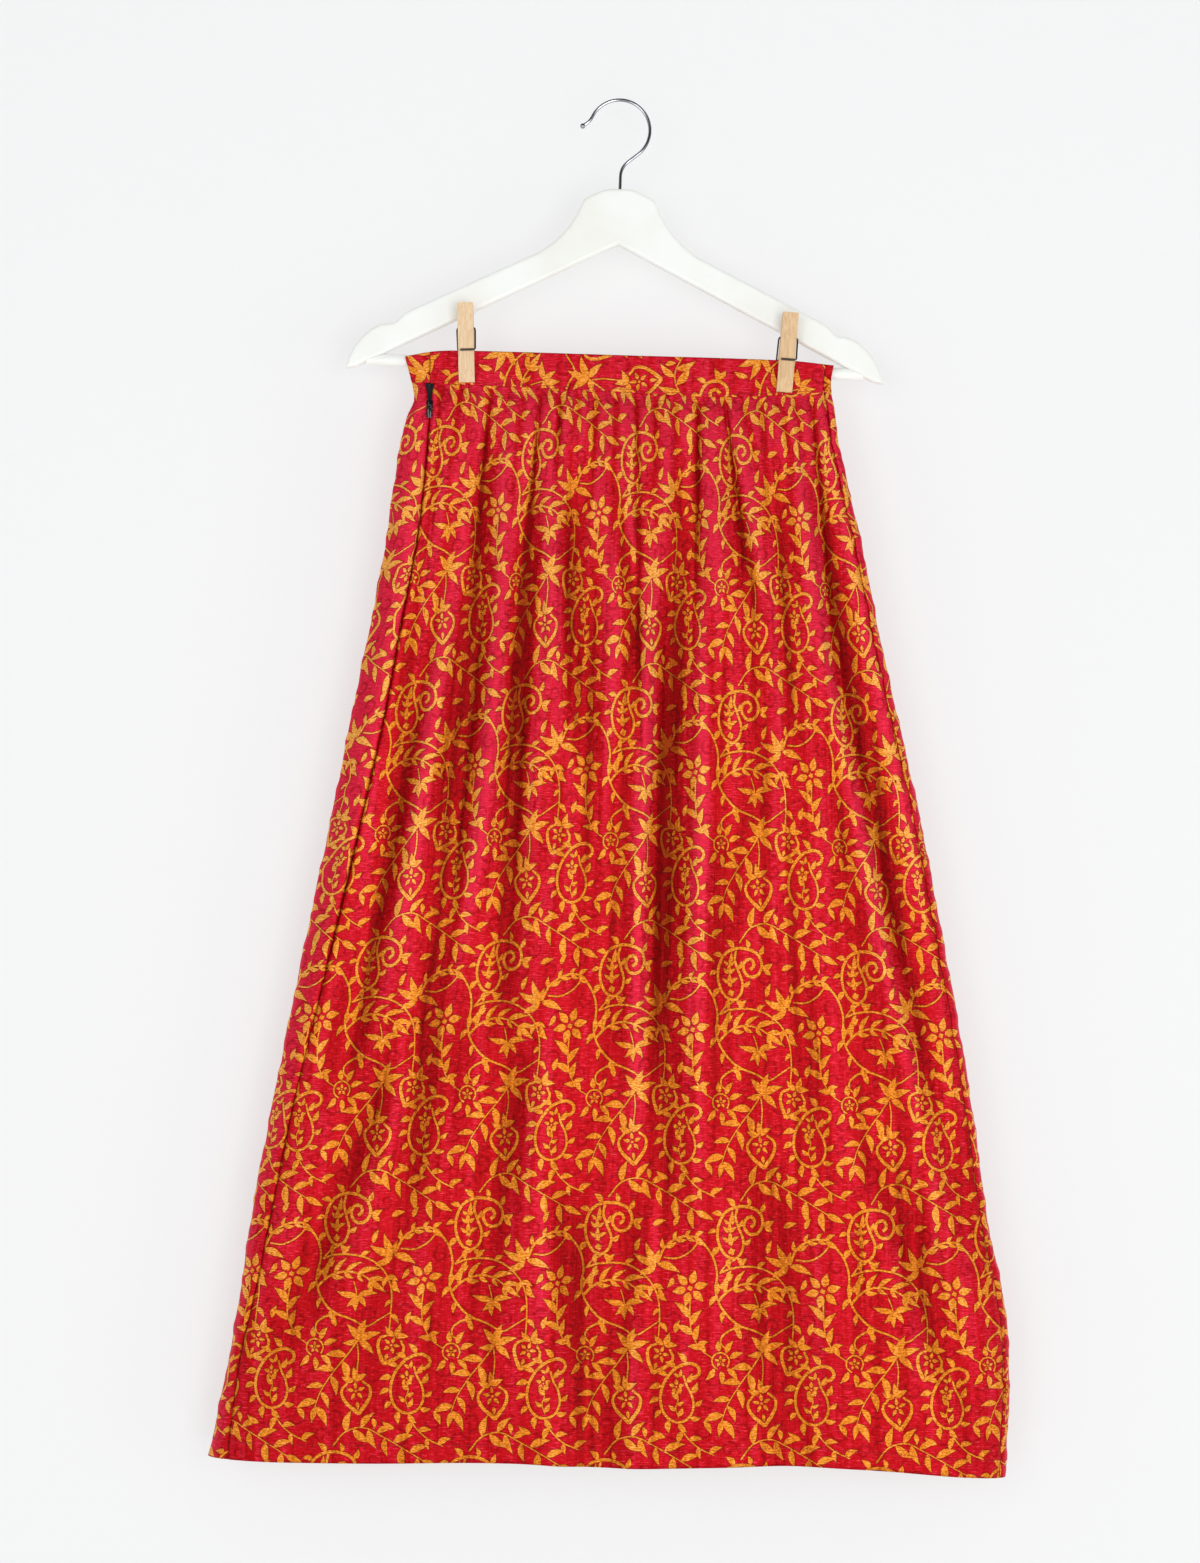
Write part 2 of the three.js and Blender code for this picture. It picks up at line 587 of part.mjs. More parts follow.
// Profiles of a peg's two legs in (y, z) from the bar's axis. The front leg lies flat on the waistband.
// The back leg reaches behind the bar. Above the coil both lean forward, clear of the hanger's arm.
const JAW_FACE = BAND_FRONT - CLEARANCE;
const FRONT_LEG = [
  { y: JAW_FACE, z: -18 },
  { y: JAW_FACE, z: 18 },
  { y: -12.9, z: 30 },
  { y: -20.0, z: 46 },
  { y: -24.9, z: 46 },
  { y: -18.4, z: 22 },
  { y: -17.2, z: -7 },
  { y: -12.6, z: -18 },
];
const BACK_LEG = [
  { y: 9.4, z: -15 },
  { y: 13.6, z: -13 },
  { y: 11.8, z: -4 },
  { y: -4.3, z: 24 },
  { y: -13.9, z: 45.4 },
  { y: -18.3, z: 46 },
  { y: -8.3, z: 22.5 },
];

// Where the spring crosses the outside of each leg: the wire's centre, and the way that face looks.
const FRONT_GROOVE = { y: -17.8, z: 8.2, facing: 182.4 };
const BACK_GROOVE = { y: 4.3, z: 9.7, facing: 29.9 };
const GROOVE_BLOCK = 4;           // thickness of the block that cuts a groove

function legSolid(profile, groove) {
  const shape = new THREE.Shape(profile.map(({ y, z }) => new THREE.Vector2(y, z)));
  const leg = toManifold(extrudeAlongX(shape, PEG_WIDTH));
  const bore = (y, z, radius) => toManifold(cylinderAlongX(radius, 2 * PEG_WIDTH, 20).translate(0, y, z));
  const room = PEG_WIRE_RADIUS + CLEARANCE;
  const facing = THREE.MathUtils.degToRad(groove.facing);
  const slot = new THREE.BoxGeometry(2 * PEG_WIDTH, GROOVE_BLOCK, 2 * room);
  slot.translate(0, GROOVE_BLOCK / 2 - room, 0).rotateX(facing).translate(0, groove.y, groove.z);
  return fromManifold(leg
    .subtract(bore(PEG_PIVOT.y, PEG_PIVOT.z, PEG_COIL_RADIUS + PEG_WIRE_RADIUS + CLEARANCE))
    .subtract(bore(0, 0, BAR_RADIUS + CLEARANCE + PEG_TILT_ROOM))
    .subtract(toManifold(slot)));
}

// The spring: the coil's first and last angle, how far its ends cross the legs, and its bends' radius.
const COIL = { from: 154, to: 37 - 720, reach: 0.62, bend: 1.6 };

// The coil, wound along x about the pivot.
class Coil extends THREE.Curve {
  constructor(halfWidth, from, to) {
    super();
    Object.assign(this, { halfWidth, from, to });
  }

  getPoint(t, target = new THREE.Vector3()) {
    const angle = lerp(this.from, this.to, t);
    return target.set(
      lerp(this.halfWidth, -this.halfWidth, t),
      PEG_PIVOT.y + PEG_COIL_RADIUS * Math.cos(angle),
      PEG_PIVOT.z + PEG_COIL_RADIUS * Math.sin(angle),
    );
  }
}

function pegSpring() {
  const side = PEG_WIDTH / 2 + PEG_WIRE_RADIUS + 1.2 * CLEARANCE;
  const coil = new Coil(side, THREE.MathUtils.degToRad(COIL.from), THREE.MathUtils.degToRad(COIL.to));
  const point = (x, { y, z }) => new THREE.Vector3(x, y, z);
  const path = roundedPath([
    point(-COIL.reach * side, FRONT_GROOVE),
    point(side, FRONT_GROOVE),
    coil.getPoint(0),
  ], COIL.bend);
  path.add(coil);
  path.curves.push(...roundedPath([
    coil.getPoint(1),
    point(-side, BACK_GROOVE),
    point(COIL.reach * side, BACK_GROOVE),
  ], COIL.bend).curves);
  return wireAlong(path, PEG_WIRE_RADIUS, 84, 3);
}

// ---------------------------------------------------------------- assembly

function named(name, geometry, colour) {
  const mesh = new THREE.Mesh(geometry, new THREE.MeshStandardMaterial(COLOURS[colour]));
  mesh.name = name;
  return mesh;
}

function peg(name, x, leanDegrees) {
  const group = new THREE.Group();
  group.add(named(`${name}_front_leg`, legSolid(FRONT_LEG, FRONT_GROOVE), 'peg'));
  group.add(named(`${name}_back_leg`, legSolid(BACK_LEG, BACK_GROOVE), 'peg'));
  group.add(named(`${name}_spring`, pegSpring(), 'spring'));
  group.position.set(x, 0, BAR_Z);
  group.rotation.y = THREE.MathUtils.degToRad(leanDegrees);
  return group;
}

const PEGS = [
  { name: 'peg_left', x: -122.2, lean: -2.7 },
  { name: 'peg_right', x: 141.2, lean: 2.6 },
];

const skirt = new THREE.Group();
skirt.add(named('front_panel', panel(frontSpan, FRONT_COLUMNS), 'silk'));
skirt.add(named('back_panel', panel(backSpan, BACK_COLUMNS), 'silk'));
skirt.add(named('waistband_front', band(frontSpan, shares(24)), 'silk'));
skirt.add(named('waistband_back', band(backSpan, shares(32, 0.6)), 'silk'));
skirt.add(named('zip_tape', zipTape(), 'zip'));

const zip = new THREE.Group();
zip.position.copy(sliderSeat());
zip.add(named('zip_slider', zipSlider(), 'zipMetal'));
const pullTab = named('zip_pull_tab', zipPullTab(), 'zipMetal');
pullTab.position.set(0, AXLE_Y, 0);
zip.add(pullTab);
skirt.add(zip);

const hanger = new THREE.Group();
hanger.add(named('hanger_wood', hangerWood(), 'paint'));
const bar = named('trouser_bar', trouserBar(), 'paint');
bar.position.z = BAR_Z;
hanger.add(bar);
hanger.add(named('hook', hook(), 'steel'));
PEGS.forEach(({ name, x, lean }) => hanger.add(peg(name, x, lean)));
skirt.add(hanger);

export default skirt;
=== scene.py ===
"""Looks of the A-line skirt: printed silk, zip, wooden hanger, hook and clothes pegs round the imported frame.

Tables and shape functions work in millimetres in the part's own frame, and meshes are made in metres.
"""

import math

import bmesh
import bpy
import numpy as np
from mathutils import Matrix, Vector


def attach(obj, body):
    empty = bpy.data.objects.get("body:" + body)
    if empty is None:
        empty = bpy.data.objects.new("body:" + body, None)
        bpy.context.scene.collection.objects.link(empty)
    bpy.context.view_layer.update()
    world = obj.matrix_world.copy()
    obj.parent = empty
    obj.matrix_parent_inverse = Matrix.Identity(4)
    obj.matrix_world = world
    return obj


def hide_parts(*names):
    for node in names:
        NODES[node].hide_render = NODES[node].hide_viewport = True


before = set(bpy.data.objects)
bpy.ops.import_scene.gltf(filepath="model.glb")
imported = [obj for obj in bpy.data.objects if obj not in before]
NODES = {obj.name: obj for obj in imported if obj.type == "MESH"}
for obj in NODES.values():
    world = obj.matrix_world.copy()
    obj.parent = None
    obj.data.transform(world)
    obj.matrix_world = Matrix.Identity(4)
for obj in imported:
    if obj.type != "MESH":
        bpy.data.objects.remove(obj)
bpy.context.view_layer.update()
BODY = "skirt"
MM = 0.001


def table(columns, rows):
    """A table as one array for each named column."""
    return {name: np.array([row[i] for row in rows], float) for i, name in enumerate(columns.split())}


# ---------------------------------------------------------------- camera, stage and lights

CAMERA_AIM = (-0.0016, 0.0, -0.5633)
CAMERA_DISTANCE = 2.45
CAMERA_ROLL = 1.75  # degrees
SHOWN_HEIGHT = 1.2945  # what the picture's height shows at the hanger
SENSOR = 36.0  # millimetres along the picture's height
VIEW_LIMIT = 60.0

WALL_Y = 0.05  # the hanger hangs close to the wall
WALL_TOP = 3.5
WALL_PAINT = (0.885, 0.89, 0.893)
WALL_GLOW = 0.6  # the share of the wall's brightness that is its own, as of a lit backdrop
WALL_BRIGHTNESS = 1.02  # of that share, against a white wall in the lamps' light
FLOOR_Z = -1.55
FLOOR_PAINT = (0.86, 0.86, 0.86)
FLOOR_ROUGHNESS = 0.8
STAGE_REACH = 7.0
LIGHTS = [
    # name, place, aimed at, width, height, watts
    ("key", (0.8, -2.8, -0.85), (0.0, 0.0, -0.62), 1.1, 1.7, 26),
    ("fill", (-0.95, -2.7, -0.35), (0.0, 0.0, -0.55), 1.0, 1.4, 13.6),
    ("side_right", (2.6, -1.6, -0.9), (0.0, 0.0, -0.65), 1.2, 1.8, 10),
    ("side_left", (-2.6, -1.6, -0.8), (0.0, 0.0, -0.65), 1.2, 1.8, 5),
    ("rear", (-0.9, 2.6, 0.5), (0.0, 0.0, -0.6), 2.4, 2.0, 15),
    ("rear_side", (1.9, 1.9, -0.6), (0.0, 0.0, -0.6), 1.6, 1.6, 11),
]
SKY_COLOUR = (0.98, 0.99, 1.0)
SKY = 0.56
MIRRORED_SKY = 0.06  # what polished and silky surfaces reflect: the dark room round the lamps


def link(obj):
    bpy.context.scene.collection.objects.link(obj)
    return obj


def make_camera():
    data = bpy.data.cameras.new("camera")
    data.sensor_width = SENSOR
    data.lens = SENSOR * CAMERA_DISTANCE / SHOWN_HEIGHT
    data.clip_end = VIEW_LIMIT
    camera = link(bpy.data.objects.new("camera", data))
    x, _, z = CAMERA_AIM
    level = Matrix.Rotation(math.radians(90), 4, "X")
    roll = Matrix.Rotation(math.radians(CAMERA_ROLL), 4, "Z")
    camera.matrix_world = Matrix.Translation((x, -CAMERA_DISTANCE, z)) @ level @ roll
    bpy.context.scene.camera = camera


def make_lamps():
    for name, place, target, width, height, watts in LIGHTS:
        data = bpy.data.lights.new(name, "AREA")
        data.shape = "RECTANGLE"
        data.size = width
        data.size_y = height
        data.energy = watts
        lamp = link(bpy.data.objects.new(name, data))
        lamp.location = place
        lamp.rotation_euler = (Vector(target) - Vector(place)).to_track_quat("-Z", "Y").to_euler()


def make_sky():
    """A pale sky that lights the object, and is darker where it is mirrored."""
    world = bpy.data.worlds.new("sky")
    world.use_nodes = True
    nodes, links = world.node_tree.nodes, world.node_tree.links
    nodes["Background"].inputs["Color"].default_value = (*SKY_COLOUR, 1)
    strength = nodes.new("ShaderNodeMapRange")
    strength.inputs["To Min"].default_value = SKY
    strength.inputs["To Max"].default_value = MIRRORED_SKY
    links.new(nodes.new("ShaderNodeLightPath").outputs["Is Glossy Ray"], strength.inputs["Value"])
    links.new(strength.outputs[0], nodes["Background"].inputs["Strength"])
    bpy.context.scene.world = world
    bpy.context.scene.view_settings.view_transform = "Standard"


def floor_paint():
    paint = bpy.data.materials.new("floor_paint")
    paint.use_nodes = True
    shader = paint.node_tree.nodes["Principled BSDF"]
    shader.inputs["Base Color"].default_value = (*FLOOR_PAINT, 1)
    shader.inputs["Roughness"].default_value = FLOOR_ROUGHNESS
    return paint


def wall_paint():
    """Paint that partly glows, and that is clear from behind, so that the back can be looked at."""
    paint = bpy.data.materials.new("wall_paint")
    paint.use_nodes = True
    nodes, links = paint.node_tree.nodes, paint.node_tree.links
    nodes.clear()
    kinds = "OutputMaterial MixShader AddShader BsdfDiffuse Emission BsdfTransparent NewGeometry"
    output, mix, lit, diffuse, glow, clear, side = (nodes.new(f"ShaderNode{kind}") for kind in kinds.split())
    diffuse.inputs["Color"].default_value = (*((1 - WALL_GLOW) * tone for tone in WALL_PAINT), 1)
    glow.inputs["Color"].default_value = (*WALL_PAINT, 1)
    glow.inputs["Strength"].default_value = WALL_GLOW * WALL_BRIGHTNESS
    links.new(diffuse.outputs[0], lit.inputs[0])
    links.new(glow.outputs[0], lit.inputs[1])
    links.new(side.outputs["Backfacing"], mix.inputs[0])
    links.new(lit.outputs[0], mix.inputs[1])
    links.new(clear.outputs[0], mix.inputs[2])
    links.new(mix.outputs[0], output.inputs[0])
    return paint


def stage_plane(name, low, high, material):
    """A plane as wide as the stage. low and high are y and z of its two long sides."""
    corners = [(-STAGE_REACH, *low), (STAGE_REACH, *low), (STAGE_REACH, *high), (-STAGE_REACH, *high)]
    mesh = bpy.data.meshes.new(name)
    mesh.from_pydata(corners, [], [(0, 1, 2, 3)])
    mesh.materials.append(material)
    plane = link(bpy.data.objects.new(name, mesh))
    return plane


def make_stage():
    stage_plane("floor", (-STAGE_REACH, FLOOR_Z), (STAGE_REACH, FLOOR_Z), floor_paint())
    stage_plane("wall", (WALL_Y, FLOOR_Z), (WALL_Y, WALL_TOP), wall_paint()).visible_shadow = False


# ---------------------------------------------------------------- the print, charted

TILE_WIDTH, TILE_HEIGHT = 112.0, 211.0  # the print's repeat, in millimetres of flat cloth
STEM_OVERLAP = 1.12  # each arc of a stem runs on into the next one
LEAF_LEAN = 0.26  # how much fuller a leaf is towards its base
LEAF_LOSS = 0.1  # the leaves in a row shrink by this from each to the next, three at a time
STEM_LEAF_BEND = 0.09  # how far a leaf's middle stands off its chord, as a share of its length
LEAF_BEND = 0.08
STAR_BEND = 0.07
STAR_HEART = 0.6  # radius of the bare spot in the middle of a star
DOT_SHAPE = 0.62  # width of each of a dot's two strokes, as a share of the dot's size
PETAL_START, PETAL_LENGTH, FLOWER_DOT = 0.26, 0.84, 0.36  # shares of a flower's radius
CURL_TURN, CURL_SHRINK, CURL_POINTS = 52, 0.115, 8  # a spiral of a little over one turn
CURL_SIZE, CURL_WIDTH = 1.35, 2.5
INK = {"leaf": 0.92, "stem": 0.68, "scroll": 1.0}  # how much of a stroke's drawn width is coloured


class Chart:
    """The strokes of one repeat. Leaves and scrolls are arcs like stems, and only their outline differs."""

    def __init__(self):
        self.strokes = {kind: [] for kind in INK}

    def arc(self, kind, start, middle, end, width):
        """One stroke through three points, which are complex numbers, x + y j, in millimetres."""
        chord = end - start
        along = chord / abs(chord)
        sag = ((middle - (start + end) / 2) * (1j * along).conjugate()).real
        apex = (start + end) / 2 + 1j * along * sag
        stretch = 1.0 if kind == "leaf" else STEM_OVERLAP
        half = abs(chord) / 2 * stretch
        self.strokes[kind].append((apex.real, apex.imag, along.real, along.imag, half, -sag * stretch**2,
                                   INK[kind] * width / 2))

    def leaf(self, base, heading, length, width, bend=0.0):
        """A leaf from its base towards heading, in degrees. bend pushes its middle to the left."""
        reach = length * turned(heading)
        self.arc("leaf", base, base + reach / 2 + 1j * reach * bend, base + reach, width)

    def curve(self, corners, width, kind="stem", steps=2, taper=1.0):
        """A smooth stem through the corners, whose width ends at taper times its first."""
        path = spline(corners, 2 * steps)
        pieces = (len(path) - 1) // 2
        for i in range(pieces):
            share = i / max(pieces - 1, 1)
            self.arc(kind, path[2 * i], path[2 * i + 1], path[2 * i + 2], width * (1 + (taper - 1) * share))
        return path


def turned(degrees):
    return complex(math.cos(math.radians(degrees)), math.sin(math.radians(degrees)))


def spline(corners, steps):
    """Points along the smooth curve through the corners, steps to a span."""
    ends = [2 * corners[0] - corners[1], *corners, 2 * corners[-1] - corners[-2]]
    path = []
    for a, b, c, d in zip(ends, ends[1:], ends[2:], ends[3:]):
        square, cube = 2 * a - 5 * b + 4 * c - d, 3 * b - a - 3 * c + d
        for t in (i / steps for i in range(steps)):
            path.append(0.5 * (2 * b + (c - a) * t + square * t**2 + cube * t**3))
    return [*path, corners[-1]]


def placed(corners, at=0, size=1, turn=0.0):
    """Corners of a motif's own unit drawing, moved to where it stands on the cloth."""
    return [at + size * turned(turn) * complex(x, y) for x, y in corners]


def leaves_on(chart, path, first, last, count, side, length, width, lean=46, gap=0.0):
    """Leaves along a path between two shares of it.

    side is 1 for its left, -1 for its right and 0 for both in turn."""
    for i in range(count):
        share = first + (last - first) * i / max(count - 1, 1)
        k = min(int(share * (len(path) - 1)), len(path) - 2)
        step = path[k + 1] - path[k]
        way = side or (1 if i % 2 else -1)
        heading = math.degrees(math.atan2(step.imag, step.real)) + way * lean
        base = path[k] + step * (share * (len(path) - 1) - k) + gap * turned(heading)
        grown = 1.0 - LEAF_LOSS * (i % 3)
        chart.leaf(base, heading, length * grown, width * grown, STEM_LEAF_BEND * way)


def stem(chart, corners, width, taper=1.0, leaves=()):
    """A stem with rows of leaves along it, each in the order that leaves_on takes."""
    path = chart.curve(corners, width, taper=taper)
    for row in leaves:
        leaves_on(chart, path, *row)
    return path


def dot(chart, at, size):
    for heading in (20, 110):
        chart.leaf(at - size / 2 * turned(heading), heading, size, size * DOT_SHAPE)


def flower(chart, at, radius, petals, turn=0.0, width=4.6):
    for i in range(petals):
        heading = turn + 360 * i / petals
        chart.leaf(at + PETAL_START * radius * turned(heading), heading + 180, -PETAL_LENGTH * radius, width)
    dot(chart, at, FLOWER_DOT * radius)


def star(chart, at, leaves):
    """Leaves round a point: each is a heading, a length and a width."""
    for heading, length, width in leaves:
        bend = STAR_BEND if heading % 2 else -STAR_BEND
        chart.leaf(at + STAR_HEART * turned(heading), heading, length, width, bend)


def small_paisley(chart, at, size):
    loop = [(0.2, 0.29), (0.3, 0.3), (0.37, 0.38), (0.34, 0.48), (0.2, 0.53), (0.0, 0.46), (-0.16, 0.3),
            (-0.27, 0.08), (-0.29, -0.16), (-0.2, -0.38), (-0.01, -0.48), (0.18, -0.41), (0.27, -0.22),
            (0.24, -0.01), (0.15, 0.16), (0.1, 0.32)]
    sprig = [(0.02, -0.4), (-0.03, -0.24), (0.01, -0.08), (-0.03, 0.06)]
    stem(chart, placed(loop, at, size), 4.3, 0.6,
         [(0.28, 0.62, 7, -1, 10.4, 5.2, 56, 1.4), (0.67, 0.94, 5, -1, 9.8, 4.9, 48, 1.4)])
    stem(chart, placed(sprig, at, size), 1.3, 1.0, [(0.05, 0.86, 5, 0, 8.4, 4.0, 46)])
    flower(chart, at + size * complex(-0.02, 0.12), 6.0, 5, 90, 3.2)
    star(chart, at + size * complex(0.03, 0.28), [(80, 6.5, 3.0), (150, 5.5, 2.8)])


def large_paisley(chart, at, size):
    loop = [(0.37, 0.1), (0.45, 0.18), (0.4, 0.29), (0.27, 0.27), (0.22, 0.12), (0.33, -0.03), (0.52, -0.01),
            (0.62, 0.17), (0.55, 0.38), (0.34, 0.49), (0.06, 0.5), (-0.18, 0.38), (-0.31, 0.12),
            (-0.31, -0.17), (-0.18, -0.42), (0.01, -0.5), (0.16, -0.38), (0.2, -0.16), (0.11, 0.08),
            (0.04, 0.28), (0.07, 0.46)]
    stem(chart, placed(loop, at, size), 4.2, 0.75,
         [(0.34, 0.72, 8, -1, 9.8, 5.0, 56, 1.2), (0.76, 0.9, 3, -1, 9.0, 4.6, 44, 1.2)])
    dot(chart, at + size * complex(-0.04, -0.36), 6.6)
    dot(chart, at + size * complex(-0.06, -0.2), 4.6)
    star(chart, at + size * complex(-0.06, -0.18), [(91, 8.0, 3.6), (31, 8.2, 3.2), (149, 8.0, 3.2)])
    star(chart, at + size * complex(-0.07, 0.0), [(91, 8.0, 3.6), (41, 7.0, 2.8), (139, 7.6, 3.0)])
    star(chart, at + size * complex(-0.08, 0.16), [(80, 11.0, 3.6), (40, 5.0, 2.6), (139, 6.0, 2.8)])


def bud(chart, at, size, turn):
    """A cup that ends in a point, with a small flower inside and leaves for a crown."""
    for way in (-1, 1):
        side = [(0.2 * way, 0.32), (0.38 * way, 0.12), (0.31 * way, -0.17), (0.0, -0.52)]
        stem(chart, placed(side, at, size, turn), 2.9, 1.6)
    flower(chart, at + size * 0.08j * turned(turn), 0.24 * size, 5, turn + 90, 3.0)
    chart.leaf(at - size * 0.2j * turned(turn), turn - 90, 0.22 * size, 3.0)
    crown = at + size * 0.34j * turned(turn)
    star(chart, crown, [(turn + 90, 11.5, 5.2), (turn + 25, 11.0, 5.0), (turn + 155, 11.0, 5.0)])


def medallion(chart, at, radius):
    chart.curve([at + radius * turned(36 * i - 40) for i in range(9)], 2.0, steps=1)
    flower(chart, at, 4.6, 5, 20, 2.4)
    for heading, length in ((20, 12), (58, 12), (96, 9), (-48, 13), (-88, 11), (-128, 12)):
        chart.leaf(at + (radius + 1.0) * turned(heading), heading, length, 4.8, LEAF_BEND)


def feather(chart, corners, width, leaflets, length):
    """A large leaf cut into fingers along both sides."""
    path = stem(chart, corners, width, 0.6, [(0.16, 0.88, leaflets, 1, length, 4.8, 30),
                                             (0.3, 0.9, leaflets - 1, -1, length * 0.6, 4.2, 34)])
    tip = path[-1] - path[-2]
    chart.leaf(path[-1] - 2 * tip, math.degrees(math.atan2(tip.imag, tip.real)), length, 5.0)


def curl(chart, at, radius, turn, way):
    spiral = [at + radius * (1 - CURL_SHRINK * i) * turned(turn + way * CURL_TURN * i)
              for i in range(CURL_POINTS)]
    chart.curve(spiral, CURL_WIDTH, "scroll", steps=1, taper=0.7)


STEMS = [
    # corners, width, taper, rows of leaves, and the heading, length and width of a leaf at its tip
    ([(25, 116), (31, 106), (41, 97), (54, 91)], 1.7, 1.0, [(0.2, 0.9, 4, 0, 12, 5.0, 48)], ()),
    ([(95, 176), (86, 163), (75, 149), (65, 133), (60, 119)], 2.0, 0.6,
     [(0.26, 0.9, 4, -1, 18, 6.4, 50, 0.4), (0.34, 0.98, 4, 1, 18.5, 6.4, 50, 0.4)], (-100, 13, 4.8)),
    ([(94, 172), (95, 162), (94, 149)], 1.7, 1.0, [], ()),
    ([(76, 88), (86, 100), (101, 104), (117, 97), (134, 88), (150, 79)], 2.0, 0.6,
     [(0.2, 0.86, 5, 1, 18, 6.2, 48, 0.4), (0.28, 0.95, 5, -1, 19, 6.4, 52, 0.4)], (-25, 17, 5.6)),
    ([(58, 29), (69, 33), (85, 34), (100, 30), (112, 21), (119, 8), (121, -8), (120, -27)], 2.5, 0.7,
     [(0.2, 0.62, 4, 1, 10, 4.4, 40), (0.62, 0.9, 4, 0, 10, 4.2, 44)], ()),
    ([(42, 56), (52, 43), (56, 29), (55, 14), (59, 2), (68, -9), (77, -15)], 2.7, 1.0,
     [(0.55, 0.9, 3, -1, 11, 4.4, 48)], ()),
    ([(71, 40), (64, 36), (59, 30)], 2.0, 1.0, [], ()),
    ([(77, -15), (89, -19), (101, -24), (112, -18), (121, -12)], 2.5, 0.6, [], ()),
    ([(101, -24), (97, -30), (95, -36)], 2.5, 1.0, [], ()),
    ([(77, -15), (68, -17), (60, -23), (60, -30), (66, -32), (68, -28)], 2.8, 0.6, [], ()),
    ([(88, 12), (91, 3), (92, -7)], 1.5, 1.0, [], ()),
    ([(34, 8), (34, -8), (36, -22), (43, -34), (53, -41)], 1.9, 0.7,
     [(0.26, 0.36, 2, 0, 18, 6.0, 138), (0.5, 0.6, 2, 0, 16, 5.8, 138),
      (0.74, 0.84, 2, 0, 11, 4.6, 138)], ()),
    ([(7, 36), (13, 49), (25, 57), (36, 58), (42, 56)], 3.0, 0.8,
     [(0.2, 0.8, 4, 1, 9, 3.8, 40), (0.24, 0.8, 4, -1, 11, 4.0, 30)], ()),
    ([(42, 56), (34, 46), (23, 40), (12, 40)], 2.0, 1.0, [], ()),
]
FEATHERS = [
    # corners, width, leaflets on the fuller side, their length
    ([(57, 6), (66, 15), (79, 20), (93, 18), (106, 10)], 3.2, 5, 19),
    ([(56, 12), (60, 20), (67, 26)], 2.6, 2, 8),
]
STARS = [
    # where its middle is, and its leaves
    ((95, 175), [(21, 19, 6.2), (71, 18, 6.4), (128, 16, 6.0), (-41, 16, 5.8), (191, 13, 5.0)]),
    ((92, 1), [(171, 17, 5.0), (7, 16, 5.0), (231, 12, 4.6), (270, 13, 5.2), (309, 12, 4.6)]),
    ((6, 35), [(161, 21, 6.4), (119, 19, 6.2), (79, 11, 4.4), (-19, 20, 6.4), (215, 17, 5.8)]),
]
# Curls of the ground, darker on dark: where each stands, its radius, its first angle and the way it winds.
CURLS = [
    (8, 8, 6.5, 40, 1), (24, 22, 5.5, 200, -1), (46, 36, 5.0, 120, 1), (84, 48, 6.0, 300, -1),
    (100, 60, 6.5, 80, 1), (10, 62, 6.0, 250, 1), (28, 50, 5.0, 20, -1), (38, 72, 6.0, 160, 1),
    (56, 66, 5.0, 330, -1), (108, 78, 5.5, 200, 1), (18, 96, 6.5, 100, -1), (66, 96, 5.5, 10, 1),
    (96, 92, 5.0, 140, -1), (76, 112, 6.5, 260, 1), (104, 116, 5.5, 30, -1), (46, 112, 6.0, 190, 1),
    (8, 124, 5.5, 310, 1), (48, 134, 6.0, 90, -1), (78, 130, 5.0, 220, 1), (52, 154, 5.5, 350, -1),
    (108, 148, 6.0, 150, 1), (78, 172, 5.5, 60, 1), (110, 166, 5.0, 280, -1), (28, 180, 6.0, 110, 1),
    (46, 188, 5.0, 240, -1), (84, 186, 5.0, 0, 1), (22, 200, 5.5, 170, -1), (64, 200, 6.0, 320, 1),
    (104, 196, 5.5, 210, -1), (78, 6, 5.0, 70, 1), (100, 14, 5.5, 180, -1), (64, 20, 4.5, 290, 1),
]
# Leaves by themselves: where each one's base stands, its heading, length and width.
STRAY_LEAVES = [
    (100, 44, 70, 12, 4.6), (104, 62, 130, 11, 4.4), (2, 66, 20, 12, 4.8), (20, 66, 60, 10, 4.2),
    (46, 118, 300, 11, 4.8), (14, 104, 150, 12, 4.8), (76, 186, 100, 11, 4.6), (22, 190, 70, 11, 4.6),
    (12, 6, 110, 11, 4.8), (20, 24, 240, 10, 4.4), (108, 112, 280, 9, 4.2), (40, 180, 20, 10, 4.4),
]


def print_chart():
    """The strokes of one repeat, as one array for each kind."""
    chart = Chart()
    small_paisley(chart, 24 + 140j, 48)
    large_paisley(chart, 70 + 62j, 42)
    bud(chart, 94 + 131j, 31, 8)
    bud(chart, 9 + 170j, 28, -22)
    medallion(chart, 59 + 168j, 7.0)
    flower(chart, 34 + 16j, 14, 6, 15, 6.6)
    for corners, width, taper, leaves, tip in STEMS:
        path = stem(chart, placed(corners), width, taper, leaves)
        if tip:
            chart.leaf(path[-1], *tip)
    for corners, width, leaflets, length in FEATHERS:
        feather(chart, placed(corners), width, leaflets, length)
    for middle, leaves in STARS:
        star(chart, complex(*middle), leaves)
    for x, y, heading, length, width in STRAY_LEAVES:
        chart.leaf(complex(x, y), heading, length, width, LEAF_BEND)
    for x, y, radius, turn, way in CURLS:
        curl(chart, complex(x, y), CURL_SIZE * radius, turn, way)
    return {kind: np.array(rows, np.float32) for kind, rows in chart.strokes.items()}


# ---------------------------------------------------------------- the skirt's form

